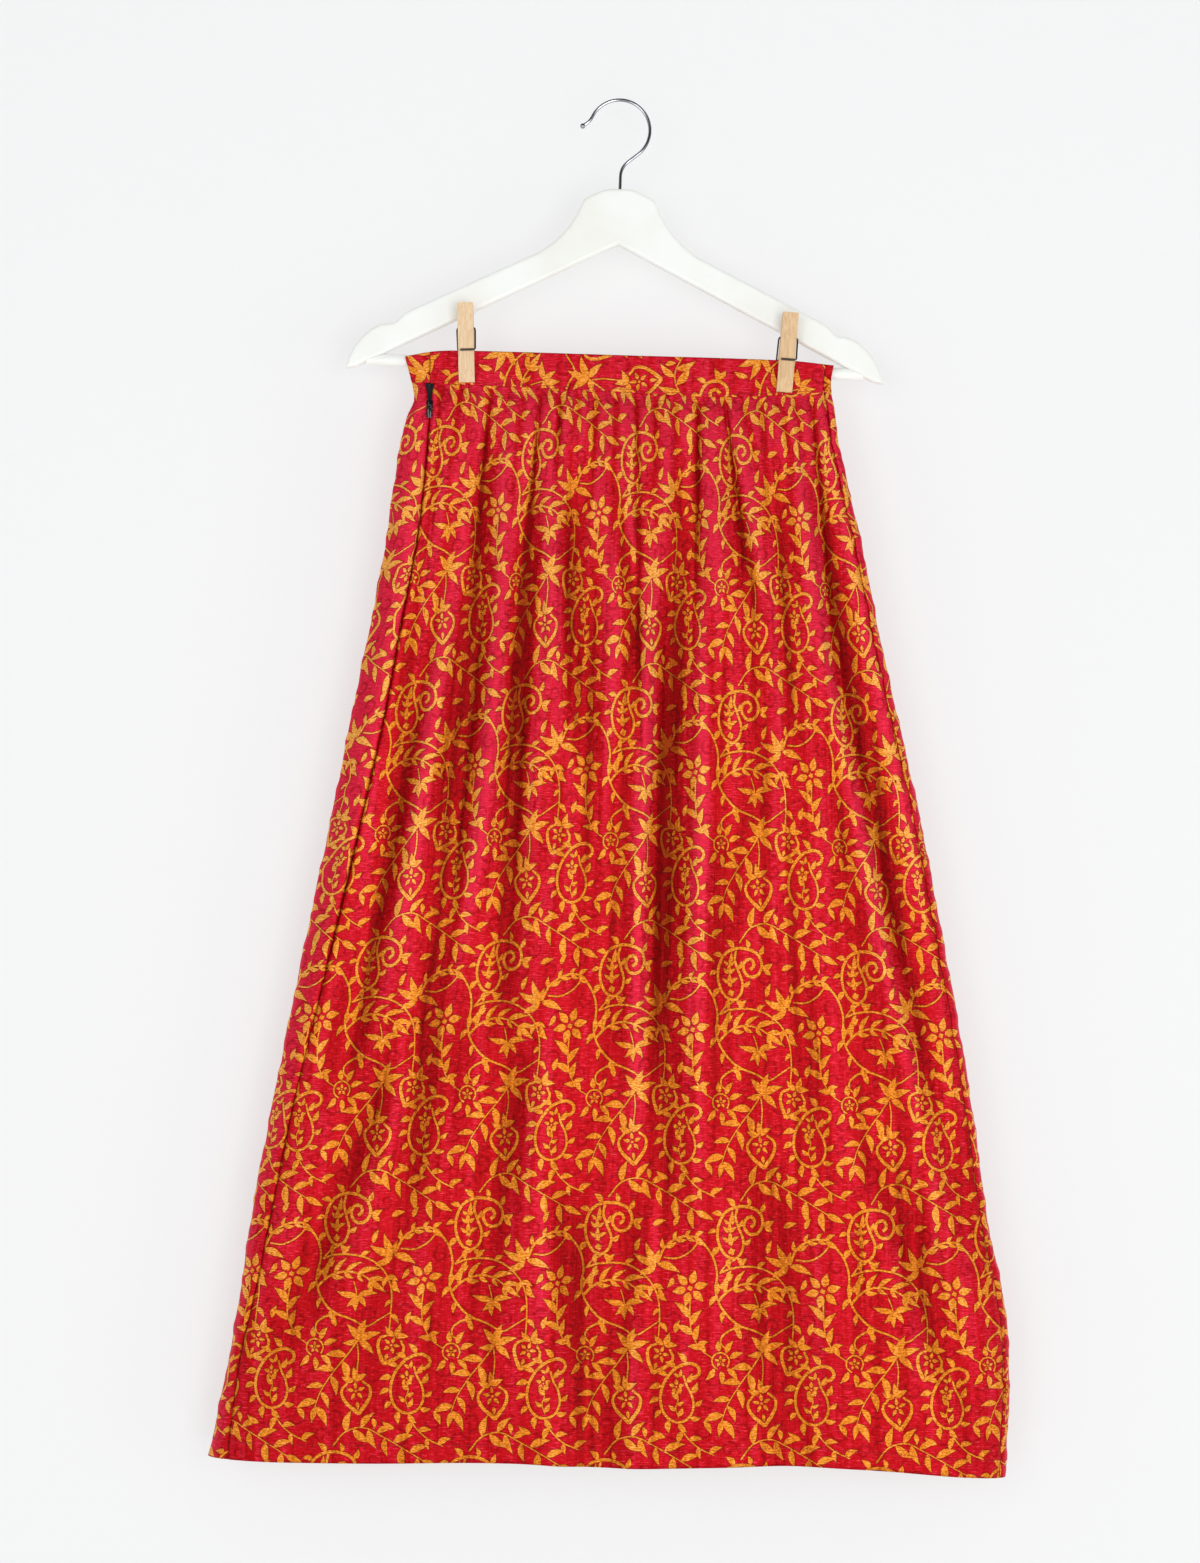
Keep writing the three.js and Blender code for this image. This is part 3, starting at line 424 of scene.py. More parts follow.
WALL = 1.4  # thickness of the CAD cloth, whose middle surface the shells follow
SILK = 0.7  # thickness of the shells
BAND = 1.1  # thickness of the waistband's shells
BAND_HALF_DEPTH = 1.1  # of the tube of cloth inside the waistband
LENS = 0.25  # how much thinner the tube is at its sides than in the middle
RIGHT_SEAM_INSET = 6.0  # the right seam lies this far in from the edge
SEAM_GAP = 0.3  # between the panels at a side seam
TOP_TUCK = 0.4  # the panels run up this far inside the waistband
PANEL_TOP, PANEL_FOOT = -241.1, -1125.0

# The tube of cloth at each height: its edges, the zip's seam, its middle plane, half its depth there, and
# how wide its rounded sides are.
SECTIONS = table("z left right seam middle depth turn", [
    (-211, -173.5, 181.2, -152.6, -7.1, 1.1, 1.2),
    (-226, -170.6, 179.5, -152.4, -7.1, 1.1, 1.2),
    (-240, -167.7, 179.9, -152.2, -7.1, 1.1, 1.6),
    (-256, -165.3, 183.2, -151.5, -6.8, 2.6, 5),
    (-270, -170.9, 185.6, -151.2, -6.2, 4.4, 9),
    (-300, -177.8, 192.7, -152.5, -5.0, 7.4, 14),
    (-370, -186.0, 211.2, -157.8, -3.0, 12.0, 24),
    (-440, -196.9, 227.3, -169.0, -1.6, 15.0, 32),
    (-505, -208.6, 244.0, -178.5, -0.8, 17.5, 38),
    (-590, -223.0, 265.8, -194.7, 0, 20.0, 44),
    (-670, -237.3, 283.6, -211.0, 0, 22.0, 50),
    (-760, -253.2, 303.3, -230.0, 0, 24.0, 56),
    (-840, -266.8, 318.7, -247.2, 0, 26.0, 60),
    (-920, -279.6, 332.4, -261.0, 0, 27.5, 62),
    (-985, -287.3, 348.2, -272.3, 0, 28.5, 64),
    (-1045, -295.7, 353.8, -284.5, 0, 29.5, 66),
    (-1132, -311.2, 352.9, -292.3, 0, 31.0, 68),
])
# Heights of the waistband's edges and of the hem, and how wide the zip gapes.
BAND_TOP = table("x z", [(-173, -217.5), (-150, -212.7), (-125, -211.3), (0, -211.1), (144, -211.4),
                         (181, -214.2)])
BAND_BOTTOM = table("x z", [(-168, -238.5), (0, -241.1), (91, -243.0), (180, -236.0)])
HEM = table("x z", [(-311, -1130.5), (-180, -1127.5), (-60, -1123.0), (20, -1125.0), (160, -1119.5),
                    (240, -1120.5), (353, -1128.0)])
ZIP_GAP = table("z width", [(-257, 0.3), (-247, 5.6), (-239, 8.4)])

# Folds: troughs from x = top at z = start down to x = end at z = stop. bow swings the middle aside, width
# is half a trough's width at its foot, share is its depth as a share of the tube's half depth there, and
# lean is how much wider its left flank is than its right one. A negative share is a ridge.
FOLD = "top end bow start stop width lean share"
FRONT_FOLDS = table(FOLD, [
    (-100, -127, 5, -241, -720, 16, 0.35, 0.64),
    (-64, -78, 1, -280, -820, 14, 0.2, 0.46),
    (-32, -17, -4, -285, -560, 14, -0.3, 0.46),
    (0, 30, 0, -300, -480, 8, 0.3, 0.2),
    (65, 63, -9, -241, -950, 15, -0.2, 0.6),
    (90, 124, 0, -243, -430, 9, 0.4, 0.4),
    (138, 156, 0, -285, -540, 12, 0.1, 0.3),
    (163, 326, -14, -241, -960, 17, -0.3, 0.6),
    (176, 300, -6, -330, -800, 13, 0.2, 0.2),
    (-128, -212, 4, -320, -860, 15, 0.3, 0.42),
    (-140, -190, 0, -262, -620, 11, 0.2, 0.22),
    (120, 84, 0, -560, -860, 20, 0.0, 0.18),
    (-168, -262, 0, -800, -1080, 20, 0.2, 0.28),
    (-130, -158, 4, -690, -980, 20, -0.2, 0.26),
    (-58, -92, 0, -780, -1040, 22, 0.3, 0.24),
    (-22, 10, 0, -900, -1190, 20, -0.3, 0.26),
    (38, 18, 0, -900, -1160, 14, 0.2, 0.16),
    (146, 176, 0, -880, -1190, 26, 0.0, 0.28),
    (232, 346, 0, -860, -1140, 20, -0.2, 0.26),
    (-40, -52, 2, -620, -1190, 34, 0.0, -0.14),
    (96, 100, -3, -620, -1190, 36, 0.0, -0.14),
])
BACK_FOLDS = table(FOLD, [
    (-118, -171, 5, -241, -760, 17, 0.3, 0.6),
    (-88, -104, 0, -300, -620, 12, -0.2, 0.3),
    (-52, -66, -4, -243, -900, 16, 0.2, 0.58),
    (4, 12, 3, -280, -640, 14, -0.3, 0.42),
    (32, 34, 0, -340, -820, 12, 0.2, 0.26),
    (58, 92, 6, -241, -860, 16, 0.3, 0.56),
    (124, 236, -9, -245, -950, 18, -0.2, 0.58),
    (150, 276, -6, -320, -840, 14, 0.2, 0.24),
    (-150, -226, 0, -620, -1190, 22, 0.2, 0.28),
    (-96, -120, 0, -760, -1100, 20, -0.2, 0.24),
    (24, 34, 0, -760, -1190, 26, 0.1, 0.28),
    (140, 152, 0, -820, -1190, 22, -0.2, 0.24),
    (210, 296, 0, -760, -1150, 18, 0.2, 0.24),
])

# Gathers under the waistband: x at the seam and at the foot, how far each runs down, half its width at the
# seam, and its depth there.
GATHER = "top end length width depth"
FRONT_GATHERS = table(GATHER, [
    (-142, -147, 60, 4, 1.5), (-127, -134, 90, 5, 1.7), (-114, -121, 60, 4, 1.2),
    (-101.6, -113, 190, 5, 3.0),
    (-87, -94, 80, 5, 1.5), (-74, -80, 110, 5, 1.6), (-60.5, -69, 170, 4, 2.9), (-43, -48, 140, 4, 2.7),
    (-29, -33, 60, 5, 1.3), (-14, -17, 120, 6, 1.7), (2, 3, 70, 5, 1.4), (19, 35, 420, 4, 2.4),
    (34, 38, 90, 6, 1.5), (51, 54, 120, 5, 1.5), (70.5, 73, 220, 4.5, 3.2), (91.4, 114, 150, 3, 3.6),
    (106, 124, 80, 5, 1.5), (121, 134, 120, 5, 1.8), (137, 152, 80, 4, 1.6), (150, 168, 120, 5, 1.8),
    (163, 192, 220, 5, 2.8), (172, 194, 90, 3.5, 1.5),
])
BACK_GATHERS = table(GATHER, [
    (-150, -162, 80, 5, 1.6), (-131, -143, 120, 5, 2.2), (-118, -126, 60, 4, 1.4), (-97, -108, 200, 5, 2.9),
    (-79, -84, 90, 5, 1.6), (-64, -68, 150, 4, 2.5), (-45, -48, 70, 5, 1.4), (-28, -30, 180, 5, 2.8),
    (-9, -8, 90, 6, 1.6), (9, 14, 140, 4, 2.5), (27, 30, 70, 5, 1.4), (43, 52, 200, 5, 3.0),
    (61, 66, 80, 5, 1.5), (82, 92, 160, 4, 2.6), (99, 108, 70, 5, 1.5), (117, 132, 210, 5, 2.9),
    (136, 150, 90, 5, 1.7), (154, 172, 130, 4, 2.0), (168, 186, 70, 4, 1.4),
])

# Long shallow waves of the hanging cloth, in the same columns as the folds, with their depth in millimetres.
WAVE = "top end bow start stop width lean depth"
FRONT_WAVES = table(WAVE, [
    (-146, -208, 0, -300, -900, 10, -0.2, 1.5), (-120, -154, 3, -360, -1010, 9, 0.2, 1.4),
    (-86, -104, -2, -300, -640, 8, -0.2, 1.6), (-98, -128, 0, -640, -1120, 12, -0.2, 1.6),
    (-50, -58, 2, -380, -840, 9, -0.2, 1.6), (-6, -14, 0, -330, -780, 10, -0.2, 1.5),
    (2, -4, 0, -800, -1125, 13, -0.2, 1.3), (14, 20, -2, -420, -930, 9, -0.2, 1.4),
    (42, 46, 0, -330, -800, 9, -0.2, 1.7), (86, 100, 3, -420, -1060, 10, -0.2, 1.7),
    (120, 152, 0, -360, -900, 11, 0.2, 1.8), (178, 244, -5, -380, -1000, 12, -0.2, 2.0),
    (186, 286, -8, -420, -1060, 12, -0.2, 1.9), (-176, -262, 0, -500, -1090, 10, 0.2, 1.7),
    (150, 196, 0, -560, -1125, 13, -0.2, 1.6), (250, 300, 0, -780, -1125, 13, -0.2, 1.6),
    (-200, -236, 0, -760, -1125, 12, 0.2, 1.4), (60, 64, 0, -960, -1125, 14, 0.2, 1.3),
])
BACK_WAVES = table(WAVE, [
    (-150, -226, 4, -320, -960, 11, -0.2, 1.8), (-110, -132, -3, -420, -1080, 10, -0.2, 1.6),
    (-84, -96, 0, -330, -700, 9, 0.2, 1.5), (-24, -30, 3, -380, -1000, 10, 0.2, 1.7),
    (-2, -10, 0, -700, -1125, 13, -0.2, 1.5), (34, 44, -3, -350, -860, 9, -0.2, 1.6),
    (70, 104, 4, -420, -1125, 11, -0.2, 1.8), (110, 166, 0, -360, -940, 10, -0.2, 1.6),
    (150, 226, -6, -330, -900, 11, -0.2, 1.8), (170, 268, 0, -560, -1125, 13, -0.2, 1.7),
    (-190, -262, 0, -640, -1125, 12, -0.2, 1.6), (210, 300, 0, -760, -1125, 12, -0.2, 1.4),
])

PANEL_FACES = ((FRONT_FOLDS, FRONT_GATHERS, FRONT_WAVES), (BACK_FOLDS, BACK_GATHERS, BACK_WAVES))

FACE_STEPS, TURN_STEPS = 620, 24  # points across a face of the tube, and round each of its side edges
FOLD_TOP_WIDTH, FOLD_PEAK, FOLD_ROUNDNESS = 0.6, 0.6, 0.8
CREST, CREST_PLACE, CREST_WIDTH = 0.22, 2.0, 0.7  # of the rise beside a trough, in depths and widths
DEEPEST = 0.86  # the deepest a trough goes, as a share of the tube's half depth
LEAST_ROOM, FULL_ROOM = 0.25, 4  # a thin tube leaves gathers only part of their depth
PUFF, PUFF_START, PUFF_LENGTH = 1.2, 14, 60.0  # the cloth stands out this far below the waistband
GATHER_START, GATHER_FULL = -3, 7  # heights below the waistband between which a gather grows
GATHER_TOP_WIDTH, GATHER_EDGE = 0.5, 1.6
SEAM_REACH = 1.9  # the cloth turns in at a seam over this width
SEAM_DIP = table("z left right", [(-1140, 0.9, 0.5), (-700, 1.0, 0.5), (-480, 1.5, 0.7), (-241, 1.8, 0.8)])
SEAM_DIP_START = 0.03  # share of the panel's rows over which the dip begins below the waistband
SEAM_SHADE = 1.2  # painted shade: how much deeper than it is a seam's dip is painted in the silk's colour
# Puckers along both side edges: wave length, height and phase of each wave.
PUCKERS = table("length height phase", [(13, 0.3, 0.4), (21, 0.4, 1.9), (34, 0.5, 4.1), (61, 0.7, 2.7)])
PUCKER_TOP, PUCKER_START = -262, 30  # they begin at this height and grow over the next 30
PUCKER_CHANGE = 0.13  # how much closer the right edge's puckers lie than the left's
ROW_CROWDING = 1.12  # rows lie closer together near the waistband
TANGENT_REACH = 1.5  # how far ahead and back the cloth's direction is taken from
HOLLOW_REACH = 13  # columns each side over which a fold's hollow is measured
BAND_PAINTED_RISE = 0.8  # painted sheen: the waistband's colour is painted as if it lay this far above the folds' mean run
# Painted shade: how dark a hollow is painted at each height, and how far the whole height is painted as
# raised, so lighter: the upper folds are the steepest, and the gathered top is painted as light as the
# waistband.
FOLD_SHADE = table("z times rise", [
    (-1140, 0.4, 0), (-900, 0.45, 0), (-760, 0.65, 0), (-640, 1.0, 0.1), (-520, 1.25, 0.2),
    (-420, 1.35, 0.35), (-330, 1.5, 0.6), (-270, 1.7, 1.0), (-241, 1.6, 1.3),
])
# How much wider the flat cloth is than what hangs there, because it is gathered at the waist.
FULLNESS = table("z times", [
    (-1140, 1.0), (-1000, 1.0), (-780, 1.07), (-560, 1.17), (-400, 1.27), (-241, 1.36),
])
# Where the front's print hangs straight: its columns fan out to both sides of this line.
STRAIGHT = table("z x", [(-1140, 119.0), (-1060, 117.0), (-420, 98.0), (-241, 93.0)])
STRAIGHT_U = 117.0


def smooth_value(values, key, name, at):
    """Smooth value of a table's column between its rows, as the CAD part reads it."""
    keys, column = values[key], values[name]
    sign = math.copysign(1, keys[1] - keys[0])
    i = np.clip(np.searchsorted(sign * keys, sign * np.asarray(at)) - 1, 0, len(keys) - 2)
    before, after = np.maximum(i - 1, 0), np.minimum(i + 2, len(keys) - 1)
    span = keys[i + 1] - keys[i]
    t = np.clip((at - keys[i]) / span, 0, 1)
    slope_a = (column[i + 1] - column[before]) / (keys[i + 1] - keys[before]) * span
    slope_b = (column[after] - column[i]) / (keys[after] - keys[i]) * span
    return ((2 * t**3 - 3 * t**2 + 1) * column[i] + (t**3 - 2 * t**2 + t) * slope_a
            + (3 * t**2 - 2 * t**3) * column[i + 1] + (t**3 - t**2) * slope_b)


def straight_value(values, name, z):
    """Value of a table's column at each height, straight between its rows."""
    return np.interp(z, values["z"], values[name])


def smoothstep(low, high, x):
    t = np.clip((x - low) / (high - low), 0, 1)
    return t * t * (3 - 2 * t)


def trough_lines(folds, x, z, depth_name):
    """Depth of all folds of one face at x and z: each is a trough with a low crest along both its sides."""
    total = np.zeros(np.broadcast(x, z).shape)
    columns = ("top", "end", "bow", "start", "stop", "width", "lean", depth_name)
    for top, end, bow, start, stop, width, lean, depth in zip(*(folds[k] for k in columns)):
        along = np.clip((start - z) / (start - stop), 0, 1)
        line = top + (end - top) * along + bow * 4 * along * (1 - along)
        wide = width * (FOLD_TOP_WIDTH + (1 - FOLD_TOP_WIDTH) * np.sqrt(along))
        t = (x - line) / wide
        t = np.abs(t / (1 - lean * np.sign(t)))
        strength = np.sin(math.pi * along**FOLD_PEAK) ** FOLD_ROUNDNESS
        crest = CREST * np.exp(-(((t - CREST_PLACE) / CREST_WIDTH) ** 2))
        total += depth * strength * (np.exp(-(t**2)) - crest)
    return total


def gathered(gathers, x, z):
    """How far the cloth stands out between the gathers, and dips into them, below the waistband."""
    below = np.maximum(PANEL_TOP - z, 0)
    lift = PUFF * smoothstep(0, PUFF_START, below) * np.exp(-((below / PUFF_LENGTH) ** 2)) + 0 * x
    for top, end, length, width, depth in zip(*(gathers[k] for k in GATHER.split())):
        along = np.clip(below / length, 0, 1)
        line = top + (end - top) * along
        wide = width * (GATHER_TOP_WIDTH + (1 - GATHER_TOP_WIDTH) * along)
        fade = smoothstep(GATHER_START, GATHER_FULL, below) * (1 - along**2)
        lift = lift - depth * fade * np.exp(-np.abs((x - line) / wide) ** GATHER_EDGE)
    return lift


def face_depth(section, x, folds, gathers, waves):
    """Distance of one face of the tube from its middle plane."""
    z = section["z"]
    inset = np.minimum(x - section["left"], section["right"] - x)
    turned_in = np.clip(1 - inset / section["turn"], 0, 1)
    across = (2 * x - section["left"] - section["right"]) / (section["right"] - section["left"])
    bulge = (section["depth"] - BAND_HALF_DEPTH) * (1 - LENS * across**2)
    smooth = np.sqrt(1 - turned_in**2)
    share = trough_lines(folds, x, z, "share")
    share = np.minimum(share, DEEPEST * np.tanh(np.maximum(share, 0) / DEEPEST))
    lift = gathered(gathers, x, z) - trough_lines(waves, x, z, "depth")
    lift = np.where(z < PANEL_TOP, lift, 0)
    lift = np.where(lift < 0, lift * np.minimum(1, bulge / FULL_ROOM + LEAST_ROOM), lift)
    return (BAND_HALF_DEPTH + bulge * (1 - share * smooth) + lift * smooth) * smooth


def pucker(z, edge):
    """How far a side edge is drawn in by its seam's puckers. edge is 0 for the left and 1 for the right."""
    swing = sum(height * (1 + np.sin(2 * math.pi * z / length * (1 + PUCKER_CHANGE * edge) + phase))
                for length, height, phase in zip(*PUCKERS.values()))
    return swing / 2 * smoothstep(0, PUCKER_START, PUCKER_TOP - z)


def rings(z):
    """The cloth's middle line at each height, from the left edge over the front and back over the back.

    Returns the sections, x, y, length so far and flat length so far, one row for each height."""
    z = np.asarray(z, float)[:, None]
    section = {name: smooth_value(SECTIONS, "z", name, z) for name in SECTIONS if name != "z"}
    section["z"] = z
    section["left"] = section["left"] + WALL / 2 + pucker(z, 0)
    section["right"] = section["right"] - WALL / 2 - pucker(z, 1)
    bend = 1 - np.cos(np.linspace(0, math.pi / 2, TURN_STEPS + 1))
    even = np.linspace(0, 1, FACE_STEPS + 1)[1:-1]
    left, right, turn = section["left"], section["right"], section["turn"]
    x = np.concatenate([left + turn * bend, left + turn + (right - left - 2 * turn) * even,
                        right - turn * bend[::-1]], 1)
    front, back = (face_depth(section, x, *made) for made in PANEL_FACES)
    xs = np.concatenate([x, x[:, -2::-1]], 1)
    ys = np.concatenate([section["middle"] - front, (section["middle"] + back)[:, -2::-1]], 1)
    steps = np.hypot(np.diff(xs), np.diff(ys))
    lengths = np.concatenate([np.zeros_like(z), np.cumsum(steps, 1)], 1)
    flats = lengths * straight_value(FULLNESS, "times", z)
    section["count"] = x.shape[1]
    return section, xs, ys, lengths, flats


def along_rings(z, gap, whole_way, columns):
    """x, y, outward direction and place on the flat cloth of a piece of cloth, at even shares of each row.

    gap is the open width at the left seam. whole_way is False for the front, which ends at the right seam,
    and True for the back, which goes on round behind to the left seam."""
    section, xs, ys, lengths, flats = rings(z)
    count = section["count"]
    shares = np.linspace(0, 1, columns + 1)
    out = np.zeros((len(z), columns + 1, 5))
    for r in range(len(z)):
        x, y, length, flat = xs[r], ys[r], lengths[r], flats[r]
        seam_right = np.interp(section["right"][r, 0] - RIGHT_SEAM_INSET, x[:count], length[:count])
        offset = -gap[r] / 2 if whole_way else gap[r] / 2
        seam_left = np.interp(section["seam"][r, 0] + offset, x[:count], length[:count])
        if whole_way:
            start, stop = seam_right + SEAM_GAP / 2, length[-1] + seam_left
            behind = slice(2 * count - 2, count - 2, -1)
            origin = np.interp(0.0, x[behind], flat[behind])
            x, y = np.concatenate([x, x[1:count]]), np.concatenate([y, y[1:count]])
            length = np.concatenate([length, length[-1] + length[1:count]])
            flat = np.concatenate([flat, flat[-1] + flat[1:count]])
        else:
            start, stop = seam_left, seam_right - SEAM_GAP / 2
            line = straight_value(STRAIGHT, "x", z[r])
            origin = np.interp(line, x[:count], flat[:count]) - STRAIGHT_U
        at = start + (stop - start) * shares
        px, py, u = (np.interp(at, length, values) for values in (x, y, flat))
        ahead = np.stack([np.interp(at + TANGENT_REACH, length, values)
                          - np.interp(at - TANGENT_REACH, length, values) for values in (x, y)])
        ahead /= np.linalg.norm(ahead, axis=0)
        out[r] = np.stack([px, py, ahead[1], -ahead[0], u - origin], 1)
    return (out[..., i] for i in range(5))


def seam_dip(u, z, whole_way):
    """How far the cloth turns in towards the seams at its first and last columns."""
    first, last = ("right", "left") if whole_way else ("left", "right")
    dip = 0
    for side, edge in ((first, u - u[:, :1]), (last, u[:, -1:] - u)):
        dip = dip + straight_value(SEAM_DIP, side, z)[:, None] * np.exp(-((edge / SEAM_REACH) ** 2))
    return dip


def hollows(points, outward, reach):
    """How deep each place lies in a fold: millimetres below the mean run of reach columns on each side."""
    weights = np.hanning(2 * reach + 3)[1:-1]
    padded = np.pad(points, ((0, 0), (reach, reach), (0, 0)), mode="reflect", reflect_type="odd")
    count = points.shape[1]
    mean = sum(weight * padded[:, i:i + count] for i, weight in enumerate(weights)) / weights.sum()
    return ((mean - points) * outward).sum(-1)


def panel_grid(whole_way, rows, columns):
    """The middle surface of a skirt panel: its points, outward directions and places on the flat cloth.

    The third number of a place on the flat cloth is its painted shade: how deep it lies in a fold, times a
    factor for its height, less a painted rise towards the top, with painted shade added at the seams."""
    down = np.linspace(0, 1, rows + 1) ** ROW_CROWDING
    z = PANEL_TOP + (PANEL_FOOT - PANEL_TOP) * down
    x, y, nx, ny, u = along_rings(z, straight_value(ZIP_GAP, "width", z), whole_way, columns)
    top = smooth_value(BAND_BOTTOM, "x", "z", x) + TOP_TUCK - PANEL_TOP
    foot = smooth_value(HEM, "x", "z", x) - PANEL_FOOT
    height = z[:, None] + top + (foot - top) * down[:, None]
    dip = seam_dip(u, z, whole_way) * smoothstep(0.0, SEAM_DIP_START, down)[:, None]
    points = np.stack([x - nx * dip, y - ny * dip, height], -1)
    outward = np.stack([nx, ny, 0 * nx], -1)
    # The silk's colour is painted from these hollows: painted shade in the folds and at the seams, painted
    # sheen at the gathered top.
    times, rise = (straight_value(FOLD_SHADE, name, z)[:, None] for name in ("times", "rise"))
    hollow = hollows(points, outward, HOLLOW_REACH) * times - rise
    return points, outward, np.stack([u, height, hollow + SEAM_SHADE * dip], -1)


def band_grid(whole_way, rows, columns):
    """The middle surface of half the waistband, in the same form as a panel's."""
    down = np.linspace(0, 1, rows + 1)
    band_top = BAND_TOP["z"].max()
    z = band_top + (PANEL_TOP - band_top) * down
    x, y, nx, ny, u = along_rings(z, np.full(len(z), SEAM_GAP), whole_way, columns)
    top = smooth_value(BAND_TOP, "x", "z", x)
    bottom = smooth_value(BAND_BOTTOM, "x", "z", x)
    height = top + (bottom - top) * down[:, None]
    u = u / straight_value(FULLNESS, "times", z)[:, None]
    # The waistband is painted lighter all over, as painted sheen.
    flat = np.stack([u, height, 0 * u - BAND_PAINTED_RISE], -1)
    return np.stack([x, y, height], -1), np.stack([nx, ny, 0 * nx], -1), flat


# ---------------------------------------------------------------- shells of cloth

PRINT_SHIFT = (53.0, 64.0)  # where the print's repeat begins, in millimetres of flat cloth
BAND_SHIFT = (10.0, 64.0)  # the same for the waistband, which is cut crosswise
INNER_STEP = 3  # the inside of a shell has one face for this many on its outside
NEAR_STROKES = 3  # strokes of each kind that a face of the cloth can show
CELL = 1.0  # millimetres between the places where the nearest strokes are looked up
REACH = 4.0  # a stroke further from a face than this isn't drawn on it
OUT_OF_REACH = 50  # millimetres to the strokes that a face has too few of
NO_STROKE = (0, 0, 1, 0, 1, 0, 0)


def make_piece(name, vertices, faces, slot, material, smooth=None):
    mesh = bpy.data.meshes.new(name)
    mesh.from_pydata((np.asarray(vertices) * MM).tolist(), [], faces)
    mesh.polygons.foreach_set("use_smooth", np.ones(len(faces), bool) if smooth is None else smooth)
    mesh.materials.append(material)
    mesh.update()
    obj = link(bpy.data.objects.new(name, mesh))
    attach(obj, BODY)
    return obj


def shell(grid, thickness):
    """A closed thin shell round a middle surface.

    Returns its vertices, its faces, which of them are smooth, and its vertices' places on the flat cloth."""
    points, outward, flat = grid
    outer = points + outward * thickness / 2
    step = INNER_STEP
    inner = (points - outward * thickness / 2)[::step, ::step]
    numbers = np.arange(outer[..., 0].size).reshape(outer.shape[:2])
    inside = numbers.size + np.arange(inner[..., 0].size).reshape(inner.shape[:2])
    assert all((count - 1) % step == 0 for count in numbers.shape)

    def quads(n):
        return np.stack([n[:-1, :-1], n[1:, :-1], n[1:, 1:], n[:-1, 1:]], -1).reshape(-1, 4)

    faces = quads(numbers).tolist() + quads(inside)[:, ::-1].tolist()
    smooth = [True] * len(faces)
    edges = ((numbers[0], inside[0], 1), (numbers[-1], inside[-1], -1),
             (numbers[:, 0], inside[:, 0], -1), (numbers[:, -1], inside[:, -1], 1))
    for outer_edge, inner_edge, turn in edges:
        for i in range(len(inner_edge) - 1):
            rim = [*outer_edge[step * i:step * i + step + 1], inner_edge[i + 1], inner_edge[i]]
            faces.append([int(corner) for corner in rim[::turn]])
            smooth.append(False)
    vertices = np.concatenate([outer.reshape(-1, 3), inner.reshape(-1, 3)])
    places = np.concatenate([flat.reshape(-1, 3), flat[::step, ::step].reshape(-1, 3)])
    return vertices, faces, smooth, places


def stroke_distance(rows, kind, x, y):
    """Distance in millimetres from each stroke, one row each, to points of the repeat, one column each."""
    ox, oy, ax, ay, half, bend, wide = (rows[:, i, None] for i in range(7))
    dx, dy = x - ox, y - oy
    along = (dx * ax + dy * ay) / half
    across = dy * ax - dx * ay
    inside = np.clip(along, -1, 1)
    profile = (1 - inside**2) * (1 - LEAF_LEAN * inside) ** 2 if kind == "leaf" else 1
    sideways = np.abs(across - bend * inside**2) - wide * profile
    beyond = np.abs(along - inside) * half
    return np.where(beyond > 0, np.hypot(np.maximum(sideways, 0), beyond), sideways)


def nearest_strokes(rows, kind):
    """The strokes with copies over the repeat's edges, and for each cell of the repeat its nearest ones."""
    reach = rows[:, 4] + np.abs(rows[:, 5]) + REACH
    copies = []
    for sx in (-TILE_WIDTH, 0, TILE_WIDTH):
        for sy in (-TILE_HEIGHT, 0, TILE_HEIGHT):
            moved = rows + np.array([sx, sy, 0, 0, 0, 0, 0], np.float32)
            x, y = moved[:, 0], moved[:, 1]
            across = (x + reach > 0) & (x - reach < TILE_WIDTH)
            copies.append(moved[across & (y + reach > 0) & (y - reach < TILE_HEIGHT)])
    strokes = np.concatenate([*copies, [NO_STROKE]]).astype(np.float32)
    x, y = np.meshgrid(np.arange(CELL / 2, TILE_WIDTH, CELL), np.arange(CELL / 2, TILE_HEIGHT, CELL))
    distances = stroke_distance(strokes[:-1], kind, x.ravel()[None], y.ravel()[None])
    order = np.argpartition(distances, NEAR_STROKES, axis=0)[:NEAR_STROKES]
    near = np.take_along_axis(distances, order, 0) < REACH
    order = np.where(near, order, len(strokes) - 1)
    return strokes, order.reshape(NEAR_STROKES, *x.shape)


def hold(mesh, name, domain, vectors):
    """Keeps a vector for each corner, face or point of a mesh, under a name that a material can read."""
    held = mesh.attributes.new(name, "FLOAT_VECTOR", domain)
    held.data.foreach_set("vector", np.ascontiguousarray(vectors, np.float32).ravel())


